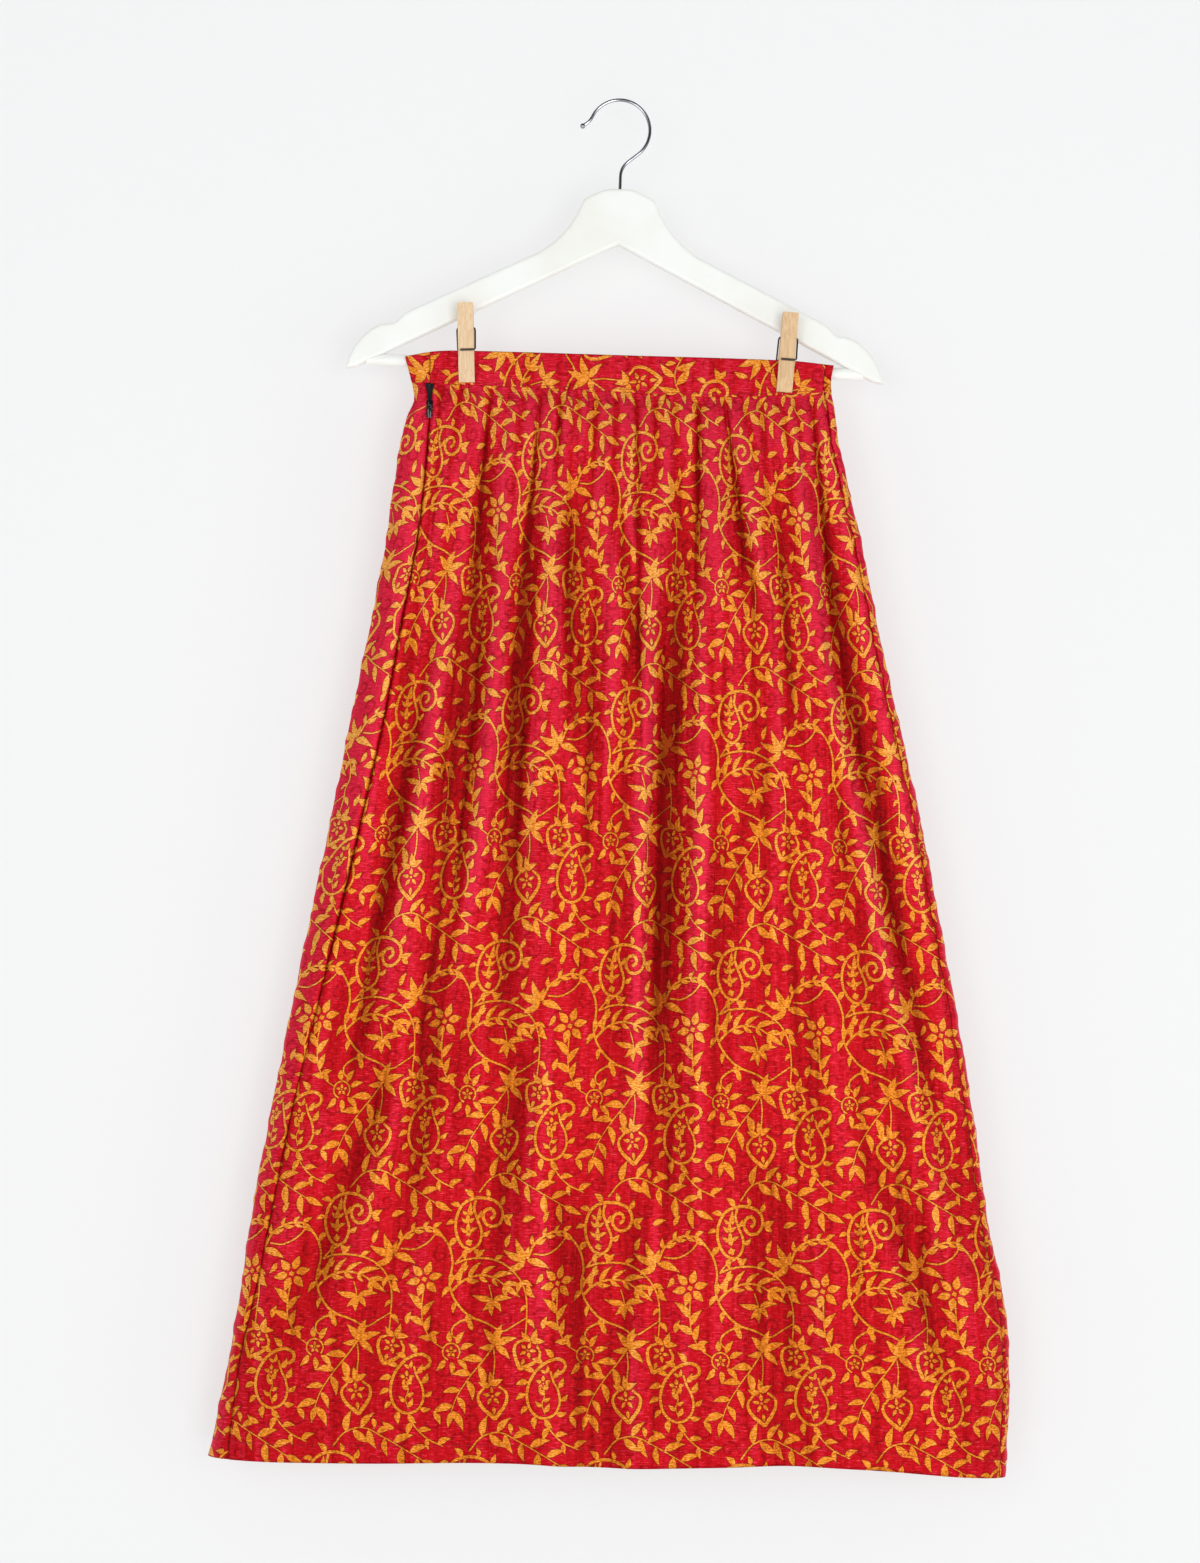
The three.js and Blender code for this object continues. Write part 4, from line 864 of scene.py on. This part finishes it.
def carry_print(mesh, places, chart, crosswise):
    """Gives each face of the cloth the print's strokes that are nearest to it, in their own coordinates.

    The silk's nodes draw the strokes from these, so an edge of the print is sharp at any size. A piece that
    is cut crosswise has the print lying on its side."""
    vertex = np.zeros(len(mesh.loops), np.int32)
    mesh.loops.foreach_get("vertex_index", vertex)
    totals = np.zeros(len(mesh.polygons), np.int32)
    mesh.polygons.foreach_get("loop_total", totals)
    face = np.repeat(np.arange(len(totals)), totals)
    spot = places[vertex, 1::-1] * (1, -1) - BAND_SHIFT if crosswise else places[vertex, :2] - PRINT_SHIFT
    centre = np.stack([np.bincount(face, spot[:, i], len(totals)) / totals for i in (0, 1)], 1)
    size = np.array([TILE_WIDTH, TILE_HEIGHT])
    tile = np.floor(centre / size) * size
    cell = np.floor((centre - tile) / CELL).astype(int)
    spot = (spot - tile[face]).astype(np.float32)
    for kind, (strokes, order) in chart.items():
        column, row = np.minimum(cell, np.array(order.shape[:0:-1]) - 1).T
        picked = strokes[order[:, row, column]]
        x, y, ax, ay, half, _, wide = (picked[:, face, i] for i in range(7))
        dx, dy = spot[:, 0] - x, spot[:, 1] - y
        along = np.where(wide == 0, 0, (dx * ax + dy * ay) / half)
        across = np.where(wide == 0, OUT_OF_REACH, dy * ax - dx * ay)
        hold(mesh, f"{kind}_along", "CORNER", along.T)
        hold(mesh, f"{kind}_across", "CORNER", across.T)
        hold(mesh, f"{kind}_bend", "FACE", picked[:, :, 5].T)
        hold(mesh, f"{kind}_wide", "FACE", picked[:, :, 6].T)
    # The third number of each place is the painted shade of the folds, which the silk's colour follows.
    hold(mesh, "cloth_place_and_painted_shade", "POINT", places)


def cloth_piece(name, grid, thickness, material, chart, crosswise):
    vertices, faces, smooth, places = shell(grid, thickness)
    piece = make_piece(name, vertices, faces, "silk", material, smooth)
    carry_print(piece.data, places, chart, crosswise)
    return piece


# ---------------------------------------------------------------- materials

LEAST_CURVED, LINEAR_SLOPE = 0.04045, 12.92  # the standard curve of screen colours is straight below this
CURVE_SHIFT, CURVE_POWER = 0.055, 2.4
SQUARINGS = 3  # how often the profile of a stem or curl is squared, to blunt its ends
TAB_CROWN = 0.0018  # metres: how much the enamel stands up towards the middle of a face

# Noises of the silk: times per millimetre of flat cloth, across and down it, with detail and roughness.
CREASES = ((0.11, 0.0055, 1), 3.0, 0.6)
SLUBS = ((0.14, 1.0, 1), 3.0, 0.65)
MOTTLE = (0.4, 2.0, 0.6)
THREADS = ((0.5, 3.2, 1), 1.0)
DASHES = ((0.4, 1.1, 1), 2.0, 0.65)
CREASE_DEPTH, MOTTLE_DEPTH, SLUB_RISE = 5.0, 3.0, -5.0  # how far each shifts the painted shade: the creases add painted shade, the mottle shifts it at random, and the slubs are painted towards the sheen
PAINTED_SHADE_DEPTHS = (-0.6, 2.5)  # painted shade: depths between which the colours go over to their darkest
PAINTED_SHEEN_DEPTHS = (0.2, -2.4)  # painted sheen: and to their lightest
GOLD_FRAY, CURL_FRAY = 0.7, 1.0  # how far the threads fray an edge of the print, in millimetres
GOLD_INK, GOLD_EDGE, CURL_INK = (0.22, -0.2), (0.8, 0.35), (0.4, -0.3)  # where each fades in
CURL_STRENGTH = 0.85
WORN = (0.42, 0.62)  # where the gold goes over to its darker patches
SILK_COLOURS_PAINTED_LIT_AND_SHADED = {
    # name: painted highlight on the ridges, plain between, painted shade down in the folds
    "ground": ((220, 36, 64), (197, 12, 23), (130, 1, 2)),
    "curls": ((188, 24, 44), (167, 7, 15), (102, 1, 2)),
    "gold": ((253, 186, 92), (249, 155, 42), (154, 60, 6)),
    "gold_patch": ((222, 122, 36), (202, 100, 20), (132, 46, 5)),
    "edge": ((142, 10, 18), (124, 6, 8), (76, 1, 2)),
}
PAINTED_GLINT_COLOUR = (246, 132, 138)  # painted glint: the light that the thickest threads throw back, painted into the colour
GLINT, GLINT_LOST = 0.22, 0.2  # the painted glint's share of the colour, and what of that is lost down in the folds
DULL, PAINTED_SLUB_SHEEN = 0.8, 0.4  # painted sheen: brightness of the thinnest threads, and what the slubs add to it
GLINTING, BRIGHT = (0.56, 0.74), (0.3, 0.75)  # thicknesses of the slubs between which the painted glint and the painted sheen each grow
WEAVE_HEIGHT, CREASE_HEIGHT = 0.0006, 0.002  # metres
PEG_TONES = {"left": ((233, 204, 166), (216, 180, 138)), "right": ((226, 192, 148), (204, 164, 118))}


def linear(red, green, blue):
    """A colour given as on a screen, 0 to 255, in the linear numbers that shaders take."""
    shares = np.array((red, green, blue)) / 255
    curved = ((shares + CURVE_SHIFT) / (1 + CURVE_SHIFT)) ** CURVE_POWER
    return (*np.where(shares <= LEAST_CURVED, shares / LINEAR_SLOPE, curved).tolist(), 1)


class Nodes:
    """Builds a material's node tree: each call adds nodes and returns the last one's output."""

    def __init__(self, name):
        self.material = bpy.data.materials.new(name)
        self.material.use_nodes = True
        self.tree = self.material.node_tree
        self.shader = self.tree.nodes["Principled BSDF"]

    def put(self, socket, value):
        if isinstance(value, bpy.types.NodeSocket):
            self.tree.links.new(value, socket)
        else:
            socket.default_value = value

    def add(self, kind, inputs=(), output=0, **settings):
        node = self.tree.nodes.new(kind)
        for name, value in settings.items():
            setattr(node, name, value)
        for key, value in dict(inputs).items():
            self.put(node.inputs[key], value)
        return node.outputs[output]

    def math(self, operation, *values):
        return self.add("ShaderNodeMath", enumerate(values), operation=operation)

    def scaled(self, value, times, plus):
        return self.math("MULTIPLY_ADD", value, times, plus)

    def spread(self, value, width):
        """A noise's value, spread over a width round 0."""
        return self.scaled(value, width, -width / 2)

    def vector(self, operation, *values):
        return self.add("ShaderNodeVectorMath", enumerate(values), operation=operation)

    def part(self, vector, i):
        return self.add("ShaderNodeSeparateXYZ", {0: vector}, output=i)

    def smallest(self, vector):
        x, y, z = (self.part(vector, i) for i in range(3))
        return self.math("MINIMUM", self.math("MINIMUM", x, y), z)

    def attribute(self, name):
        return self.add("ShaderNodeAttribute", output="Vector", attribute_name=name)

    def place(self, kind="Object"):
        return self.add("ShaderNodeTexCoord", output=kind)

    def ramp(self, value, low, high):
        return self.add("ShaderNodeMapRange", {0: value, 1: low, 2: high}, interpolation_type="SMOOTHSTEP")

    def mix(self, share, a, b):
        return self.add("ShaderNodeMix", {0: share, 6: a, 7: b}, output=2, data_type="RGBA")

    def noise(self, place, scale, detail=2.0, roughness=0.5):
        """Noise at one scale, or at one for each axis."""
        if isinstance(scale, tuple):
            place, scale = self.vector("MULTIPLY", place, scale), 1.0
        return self.add("ShaderNodeTexNoise", {"Vector": place, "Scale": scale, "Detail": detail,
                                               "Roughness": roughness})

    def ribs(self, place, scale, distortion, direction):
        return self.add("ShaderNodeTexWave", {"Vector": place, "Scale": scale, "Distortion": distortion,
                                              "Detail": 1.0}, output=1, bands_direction=direction)

    def bump(self, height, strength, distance, **inputs):
        inputs.update(Height=height, Strength=strength, Distance=distance)
        return self.add("ShaderNodeBump", inputs)

    def finish(self, **sockets):
        """Gives the shader its values, by the names of its sockets, and returns the material."""
        for name, value in sockets.items():
            self.put(self.shader.inputs[name.replace("_", " ")], value)
        return self.material


def drawn(nodes, kind):
    """Distance in millimetres to the nearest stroke of one kind, below 0 inside it."""
    along, across, bend, wide = (nodes.attribute(f"{kind}_{name}")
                                 for name in ("along", "across", "bend", "wide"))
    square = nodes.vector("MULTIPLY", along, along)
    line = nodes.vector("MULTIPLY_ADD", nodes.vector("MULTIPLY", bend, (-1, -1, -1)), square, across)
    if kind == "leaf":
        lens = nodes.vector("SUBTRACT", (1, 1, 1), square)
        lean = nodes.vector("MULTIPLY_ADD", along, (-LEAF_LEAN,) * 3, (1, 1, 1))
        profile = nodes.vector("MULTIPLY", lens, nodes.vector("MULTIPLY", lean, lean))
    else:
        power = square
        for _ in range(SQUARINGS):
            power = nodes.vector("MULTIPLY", power, power)
        profile = nodes.vector("SUBTRACT", (1, 1, 1), power)
    outline = nodes.vector("MULTIPLY", profile, wide)
    return nodes.smallest(nodes.vector("SUBTRACT", nodes.vector("ABSOLUTE", line), outline))


def printed(nodes, place, thread, colour):
    """The print: gold strokes with a thin dark edge, on a ground with darker curls."""
    gold = nodes.math("MINIMUM", drawn(nodes, "leaf"), drawn(nodes, "stem"))
    gold = nodes.math("ADD", gold, nodes.spread(thread, GOLD_FRAY))
    scroll = nodes.math("ADD", drawn(nodes, "scroll"), nodes.spread(thread, CURL_FRAY))
    curls = nodes.math("MULTIPLY", nodes.ramp(scroll, *CURL_INK), CURL_STRENGTH)
    ground = nodes.mix(curls, colour["ground"], colour["curls"])
    worn = nodes.ramp(nodes.noise(place, *DASHES), *WORN)
    ink = nodes.mix(worn, colour["gold"], colour["gold_patch"])
    edged = nodes.mix(nodes.ramp(gold, *GOLD_EDGE), ground, colour["edge"])
    return nodes.mix(nodes.ramp(gold, *GOLD_INK), edged, ink)


def silk():
    """Printed silk with slubs in the weft.

    The colours are painted darker down in the folds and creases, as painted shade for cloth lit there only by
    its own red, and painted lighter on the ridges, with painted sheen and glints on the slubs."""
    nodes = Nodes("printed_silk")
    held = nodes.attribute("cloth_place_and_painted_shade")
    place = nodes.vector("MULTIPLY", held, (1, 1, 0))
    creases, slub, mottle, thread = (nodes.noise(place, *made) for made in (CREASES, SLUBS, MOTTLE, THREADS))
    depth = nodes.math("ADD", nodes.part(held, 2), nodes.spread(creases, CREASE_DEPTH))
    depth = nodes.math("ADD", depth, nodes.spread(mottle, MOTTLE_DEPTH))
    # Painted shade in the folds and creases, and painted sheen on the ridges and slubs.
    deep = nodes.ramp(depth, *PAINTED_SHADE_DEPTHS)
    painted_sheen = nodes.ramp(nodes.math("ADD", depth, nodes.spread(slub, SLUB_RISE)), *PAINTED_SHEEN_DEPTHS)
    # A lit and a shaded copy of each colour of the print.
    colour = {name: nodes.mix(deep, nodes.mix(painted_sheen, linear(*plain), linear(*lit)), linear(*dark))
              for name, (lit, plain, dark) in SILK_COLOURS_PAINTED_LIT_AND_SHADED.items()}
    cloth = printed(nodes, place, thread, colour)
    # Painted glints on the thickest slubs.
    painted_glint = nodes.math("MULTIPLY", nodes.ramp(slub, *GLINTING), nodes.scaled(deep, -GLINT_LOST, GLINT))
    cloth = nodes.mix(painted_glint, cloth, linear(*PAINTED_GLINT_COLOUR))
    # Painted sheen: the slubs are painted brighter.
    painted_slub_sheen = nodes.scaled(nodes.ramp(slub, *BRIGHT), PAINTED_SLUB_SHEEN, DULL)
    painted_slub_sheen = nodes.add("ShaderNodeCombineXYZ", {i: painted_slub_sheen for i in range(3)})
    cloth = nodes.vector("MULTIPLY", cloth, painted_slub_sheen)
    height = nodes.scaled(slub, 0.7, nodes.math("MULTIPLY", thread, 0.3))
    weave = nodes.bump(height, 0.5, WEAVE_HEIGHT)
    normal = nodes.bump(creases, 0.8, CREASE_HEIGHT, Normal=weave)
    return nodes.finish(Base_Color=cloth, Roughness=nodes.scaled(slub, 0.16, 0.34), Normal=normal,
                        Metallic=0.4, Specular_IOR_Level=0.06, Sheen_Weight=0.012, Sheen_Roughness=0.4,
                        Sheen_Tint=linear(255, 60, 100))


def sewing_thread():
    nodes = Nodes("sewing_thread")
    ply = nodes.noise(nodes.place(), (900, 900, 4200), 1.0)
    tint = nodes.mix(ply, linear(128, 8, 24), linear(176, 24, 40))
    return nodes.finish(Base_Color=tint, Roughness=0.55, Normal=nodes.bump(ply, 0.5, 0.0001))


def zip_weave():
    """Black tape woven in fine ribs."""
    nodes = Nodes("black_tape_weave")
    place = nodes.place()
    across, down = nodes.ribs(place, 900.0, 0.6, "X"), nodes.ribs(place, 700.0, 0.4, "Z")
    weave = nodes.scaled(across, 0.6, nodes.math("MULTIPLY", down, 0.4))
    tint = nodes.mix(weave, linear(16, 16, 20), linear(44, 42, 48))
    return nodes.finish(Base_Color=tint, Roughness=0.75, Normal=nodes.bump(weave, 0.6, 0.0002))


def black_plastic():
    nodes = Nodes("black_coil_plastic")
    streak = nodes.noise(nodes.place(), 2600.0)
    tint = nodes.mix(streak, linear(14, 14, 18), linear(34, 33, 40))
    return nodes.finish(Base_Color=tint, Roughness=nodes.scaled(streak, 0.15, 0.25))


def black_metal():
    """Glossy black enamel, crowned across its width and a little worn to grey on its handled faces."""
    nodes = Nodes("black_enamelled_metal")
    wear = nodes.ramp(nodes.noise(nodes.place(), 900.0, 3.0, 0.6), 0.7, 0.9)
    tint = nodes.mix(wear, linear(5, 5, 6), linear(26, 26, 29))
    off_middle = nodes.math("SUBTRACT", nodes.part(nodes.place("Generated"), 0), 0.5)
    crown = nodes.bump(nodes.math("MULTIPLY", off_middle, off_middle), 1.0, -TAB_CROWN)
    return nodes.finish(Base_Color=tint, Roughness=nodes.scaled(wear, 0.2, 0.3), Specular_IOR_Level=0.15,
                        Coat_Weight=1.0, Coat_Roughness=0.06, Normal=crown, Coat_Normal=crown)


def white_paint():
    """Satin white paint brushed on wood, a little warmer where it is thin."""
    nodes = Nodes("white_satin_paint")
    place = nodes.place()
    brushed = nodes.noise(place, (60, 400, 500), 3.0, 0.6)
    cloud = nodes.ramp(nodes.noise(place, 14.0, 3.0), 0.35, 0.75)
    speck = nodes.ramp(nodes.noise(place, 420.0, 2.0, 0.7), 0.72, 0.8)
    tint = nodes.mix(cloud, linear(243, 245, 241), linear(236, 236, 228))
    tint = nodes.mix(nodes.math("MULTIPLY", speck, 0.4), tint, linear(214, 206, 190))
    height = nodes.scaled(brushed, 0.6, nodes.math("MULTIPLY", speck, -0.3))
    return nodes.finish(Base_Color=tint, Roughness=nodes.scaled(brushed, 0.16, 0.34),
                        Normal=nodes.bump(height, 0.25, 0.0004))


def polished_steel():
    """Polished wire with fine drawing marks and a few duller patches."""
    nodes = Nodes("polished_steel")
    place = nodes.place()
    dull = nodes.ramp(nodes.noise(place, 160.0, 3.0), 0.45, 0.75)
    marks = nodes.noise(place, 3200.0)
    tint = nodes.mix(dull, linear(164, 167, 171), linear(134, 138, 143))
    return nodes.finish(Base_Color=tint, Metallic=1.0, Roughness=nodes.scaled(dull, 0.08, 0.17),
                        Normal=nodes.bump(marks, 0.08, 0.0001))


def spring_wire():
    nodes = Nodes("dark_spring_wire")
    scale = nodes.ramp(nodes.noise(nodes.place(), 700.0, 3.0), 0.4, 0.7)
    tint = nodes.mix(scale, linear(92, 90, 92), linear(58, 52, 50))
    return nodes.finish(Base_Color=tint, Metallic=0.85, Roughness=nodes.scaled(scale, 0.2, 0.3),
                        Normal=nodes.bump(scale, 0.2, 0.0001))


def peg_wood(side):
    """Bare birch: pale with fine darker grain that runs down the peg, and short pores."""
    nodes = Nodes(f"birch_{side}")
    pale, dark = (linear(*tone) for tone in PEG_TONES[side])
    place = nodes.place()
    grain = nodes.noise(place, (620, 620, 24), 4.0, 0.65)
    pores = nodes.ramp(nodes.noise(place, (2400, 2400, 260)), 0.66, 0.78)
    tint = nodes.mix(nodes.ramp(grain, 0.3, 0.75), pale, dark)
    tint = nodes.mix(nodes.math("MULTIPLY", pores, 0.5), tint, linear(150, 112, 78))
    height = nodes.scaled(grain, 0.5, nodes.math("MULTIPLY", pores, -0.5))
    return nodes.finish(Base_Color=tint, Roughness=0.62, Normal=nodes.bump(height, 0.35, 0.0003))


# ---------------------------------------------------------------- threads, zip and hardware

TUBE_SIDES = 6
NEARLY_ALONG = 0.9  # a tube that starts so nearly along Y has its rings set out from X
STITCH_LENGTH, STITCH_PITCH, STITCH_START, THREAD = 2.3, 3.1, 2.0, 0.24
STITCH_SHAPE = table("along height width", [
    (-0.5, -0.5, 0.55), (-0.34, 0.35, 0.9), (0, 0.7, 1.0), (0.34, 0.35, 0.9), (0.5, -0.5, 0.55),
])
BAND_STITCH_ROW = -3  # of the waistband's grid, just above its lower edge
HEM_HEIGHT = 15.0

# The zip's tape fills the gape between the panels, and its two coils run down it to the slider.
TAPE_WALL, TAPE_FOOT, TAPE_SINK = 0.6, -254.2, 0.35
TAPE_RISE, TAPE_INSET, TAPE_LEAST = 1.9, 0.3, 0.9  # over the panels' top, off their edges, half width
TAPE_ROWS, TAPE_COLUMNS = 24, 18
COIL_HEAD, COIL_FOOT, COIL_PITCH = -239.2, -253.9, 0.85
COIL_RADIUS, COIL_WIRE, COIL_LEAN, COIL_RISE = 0.62, 0.24, 0.1, 0.25
COIL_MEET, COIL_SPREAD, COIL_FLARE = 0.62, 2.1, 0.9  # off the seam at the slider and at the head
COIL_STEPS = 12  # to a turn

WELD = 1e-6  # metres: the CAD solids' corners are joined within this
FLAT_ANGLE, EDGE_ANGLE, SHARP_ANGLE = 1, 30, 35  # degrees between faces
EASED_STEPS, EASED_PROFILE = 2, 0.6
SLIDER_EASE, TAB_EASE, PEG_EASE = 0.25, 0.2, 0.35


def tube(path, radius):
    """Vertices and faces of a round tube along a path of points, with closed ends."""
    path = np.asarray(path, float)
    ahead = np.gradient(path, axis=0)
    ahead /= np.linalg.norm(ahead, axis=1)[:, None]
    up = np.array([1.0, 0.0, 0.0]) if abs(ahead[0, 1]) >= NEARLY_ALONG else np.array([0.0, -1.0, 0.0])
    across = np.cross(ahead, up)
    across /= np.linalg.norm(across, axis=1)[:, None]
    over = np.cross(across, ahead)
    sides = TUBE_SIDES
    angles = 2 * math.pi * np.arange(sides) / sides
    radii = np.broadcast_to(radius, len(path))[:, None, None]
    ring = across[:, None] * np.cos(angles)[:, None] + over[:, None] * np.sin(angles)[:, None]
    vertices = (path[:, None] + radii * ring).reshape(-1, 3)
    faces = [tuple(range(sides))[::-1]]
    for i in range(len(path) - 1):
        for j in range(sides):
            a, b = i * sides + j, i * sides + (j + 1) % sides
            faces.append((a, b, b + sides, a + sides))
    faces.append(tuple(range((len(path) - 1) * sides, len(path) * sides)))
    return vertices, faces


def joined(parts):
    vertices, faces, count = [], [], 0
    for part_vertices, part_faces in parts:
        vertices.append(part_vertices)
        faces += [tuple(count + i for i in face) for face in part_faces]
        count += len(part_vertices)
    return np.concatenate(vertices), faces


def stitches(name, grid, thickness, row, material):
    """Stitches along a row of the cloth's grid: each rises out of the cloth and sinks into it again."""
    points, outward = grid[0][row], grid[1][row]
    line = points + outward * thickness / 2
    length = np.concatenate([[0], np.cumsum(np.linalg.norm(np.diff(line, axis=0), axis=1))])
    parts = []
    for at in np.arange(STITCH_START, length[-1] - STITCH_START, STITCH_PITCH):
        spots = at + STITCH_LENGTH * STITCH_SHAPE["along"]
        path = np.stack([np.interp(spots, length, line[:, i]) for i in range(3)], 1)
        out = np.array([np.interp(at, length, outward[:, i]) for i in range(3)])
        path += out * THREAD * STITCH_SHAPE["height"][:, None]
        parts.append(tube(path, THREAD * STITCH_SHAPE["width"]))
    return make_piece(name, *joined(parts), "silk", material)


def softened(name, material, width):
    """A copy of a CAD solid with its edges eased, which stands for it."""
    shape = bmesh.new()
    shape.from_mesh(NODES[name].data)
    bmesh.ops.remove_doubles(shape, verts=shape.verts, dist=WELD)
    flat, turned_far, sharp = (math.radians(angle) for angle in (FLAT_ANGLE, EDGE_ANGLE, SHARP_ANGLE))
    bmesh.ops.dissolve_limit(shape, angle_limit=flat, verts=shape.verts, edges=shape.edges)
    edges = [e for e in shape.edges if len(e.link_faces) == 2 and e.calc_face_angle() > turned_far]
    bmesh.ops.bevel(shape, geom=edges, offset=width * MM, segments=EASED_STEPS, profile=EASED_PROFILE,
                    affect="EDGES", clamp_overlap=True)
    mesh = bpy.data.meshes.new(f"{name}_eased")
    shape.to_mesh(mesh)
    shape.free()
    mesh.polygons.foreach_set("use_smooth", np.ones(len(mesh.polygons), bool))
    mesh.set_sharp_from_angle(angle=sharp)
    mesh.materials.clear()
    mesh.materials.append(material)
    piece = link(bpy.data.objects.new(mesh.name, mesh))
    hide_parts(name)
    return piece


def cloth_front(x, z):
    """y of the front cloth's middle surface at each x and z."""
    section, xs, ys, *_ = rings(z)
    count = section["count"]
    return np.array([np.interp(x[i], xs[i, :count], ys[i, :count]) for i in range(len(z))])


def tape_grid():
    z = np.linspace(PANEL_TOP + TAPE_RISE, TAPE_FOOT, TAPE_ROWS + 1)
    seam = smooth_value(SECTIONS, "z", "seam", z)[:, None]
    half = np.maximum(straight_value(ZIP_GAP, "width", z) / 2 - TAPE_INSET, TAPE_LEAST)
    aside = half[:, None] * np.linspace(-1, 1, TAPE_COLUMNS + 1)
    x = seam + aside
    y = cloth_front(x, z) + TAPE_SINK
    outward = np.zeros((*x.shape, 3))
    outward[..., 1] = -1
    height = z[:, None] + 0 * x
    return np.stack([x, y, height], -1), outward, np.stack([x - seam, height, 0 * x], -1)


def coil(side):
    turns = (COIL_HEAD - COIL_FOOT) / COIL_PITCH
    t = np.linspace(0, 1, int(turns * COIL_STEPS))
    z = COIL_FOOT + (COIL_HEAD - COIL_FOOT) * t
    seam = smooth_value(SECTIONS, "z", "seam", z)
    middle = seam + side * (COIL_MEET + (COIL_SPREAD - COIL_MEET) * t**COIL_FLARE)
    y = cloth_front(seam[:, None], z)[:, 0] - COIL_RISE
    angle = 2 * math.pi * turns * t
    path = np.stack([middle + side * COIL_RADIUS * np.cos(angle), y + COIL_RADIUS * np.sin(angle),
                     z + COIL_LEAN * np.cos(angle)], 1)
    return tube(path, COIL_WIRE)


# ---------------------------------------------------------------- building the pieces

PANEL_ROWS, BAND_ROWS = 342, 30
COLUMNS = {"front_panel": 240, "back_panel": 252, "waistband_front": 300, "waistband_back": 330}


def make_grids():
    """The middle surface of each piece of cloth, by the name of its CAD solid."""
    grids = {}
    for node, columns in COLUMNS.items():
        made, rows = (band_grid, BAND_ROWS) if node.startswith("waistband") else (panel_grid, PANEL_ROWS)
        grids[node] = made("back" in node, rows, columns)
    return grids


def make_cloth(grids):
    """The pieces of cloth, each of which stands for its CAD solid."""
    chart = {kind: nearest_strokes(rows, kind) for kind, rows in print_chart().items()}
    material = silk()
    cloth = {}
    for node, grid in grids.items():
        is_band = node.startswith("waistband")
        piece = cloth_piece(f"{node}_silk", grid, BAND if is_band else SILK, material, chart, is_band)
        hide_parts(node)
        cloth[node] = piece
    return cloth


def sew(grids):
    """The stitches of the hem and the waistband."""
    thread = sewing_thread()
    low, lowest = grids["front_panel"][0][-2:, 0, 2]
    hem_row = PANEL_ROWS - round(HEM_HEIGHT / float(low - lowest))
    for side in ("front", "back"):
        panel, band = f"{side}_panel", f"waistband_{side}"
        hem = stitches(f"hem_stitches_{side}", grids[panel], SILK, hem_row, thread)
        top = stitches(f"waistband_stitches_{side}", grids[band], BAND, BAND_STITCH_ROW, thread)


def make_zip():
    grid = tape_grid()
    vertices, faces, smooth, _ = shell(grid, TAPE_WALL)
    tape = make_piece("zip_tape_weave", vertices, faces, "zip_tape", zip_weave(), smooth)
    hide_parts("zip_tape")
    coils = make_piece("zip_coils", *joined([coil(-1), coil(1)]), "zip_tape", black_plastic())
    enamel = black_metal()
    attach(softened("zip_slider", enamel, SLIDER_EASE), BODY)
    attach(softened("zip_pull_tab", enamel, TAB_EASE), "zip_pull")


def finish_hanger():
    """The pegs' wood in eased copies, and paint and metal on the CAD solids that show as they are."""
    paint, steel, wire = white_paint(), polished_steel(), spring_wire()
    for side in ("left", "right"):
        grain = peg_wood(side)
        for leg in ("front", "back"):
            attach(softened(f"peg_{side}_{leg}_leg", grain, PEG_EASE), BODY)
        NODES[f"peg_{side}_spring"].material_slots[0].material = wire
    for name in ("hanger_wood", "trouser_bar"):
        NODES[name].material_slots[0].material = paint
    NODES["hook"].material_slots[0].material = steel


make_camera()
make_lamps()
make_sky()
make_stage()
grids = make_grids()
cloth = make_cloth(grids)
sew(grids)
make_zip()
finish_hanger()
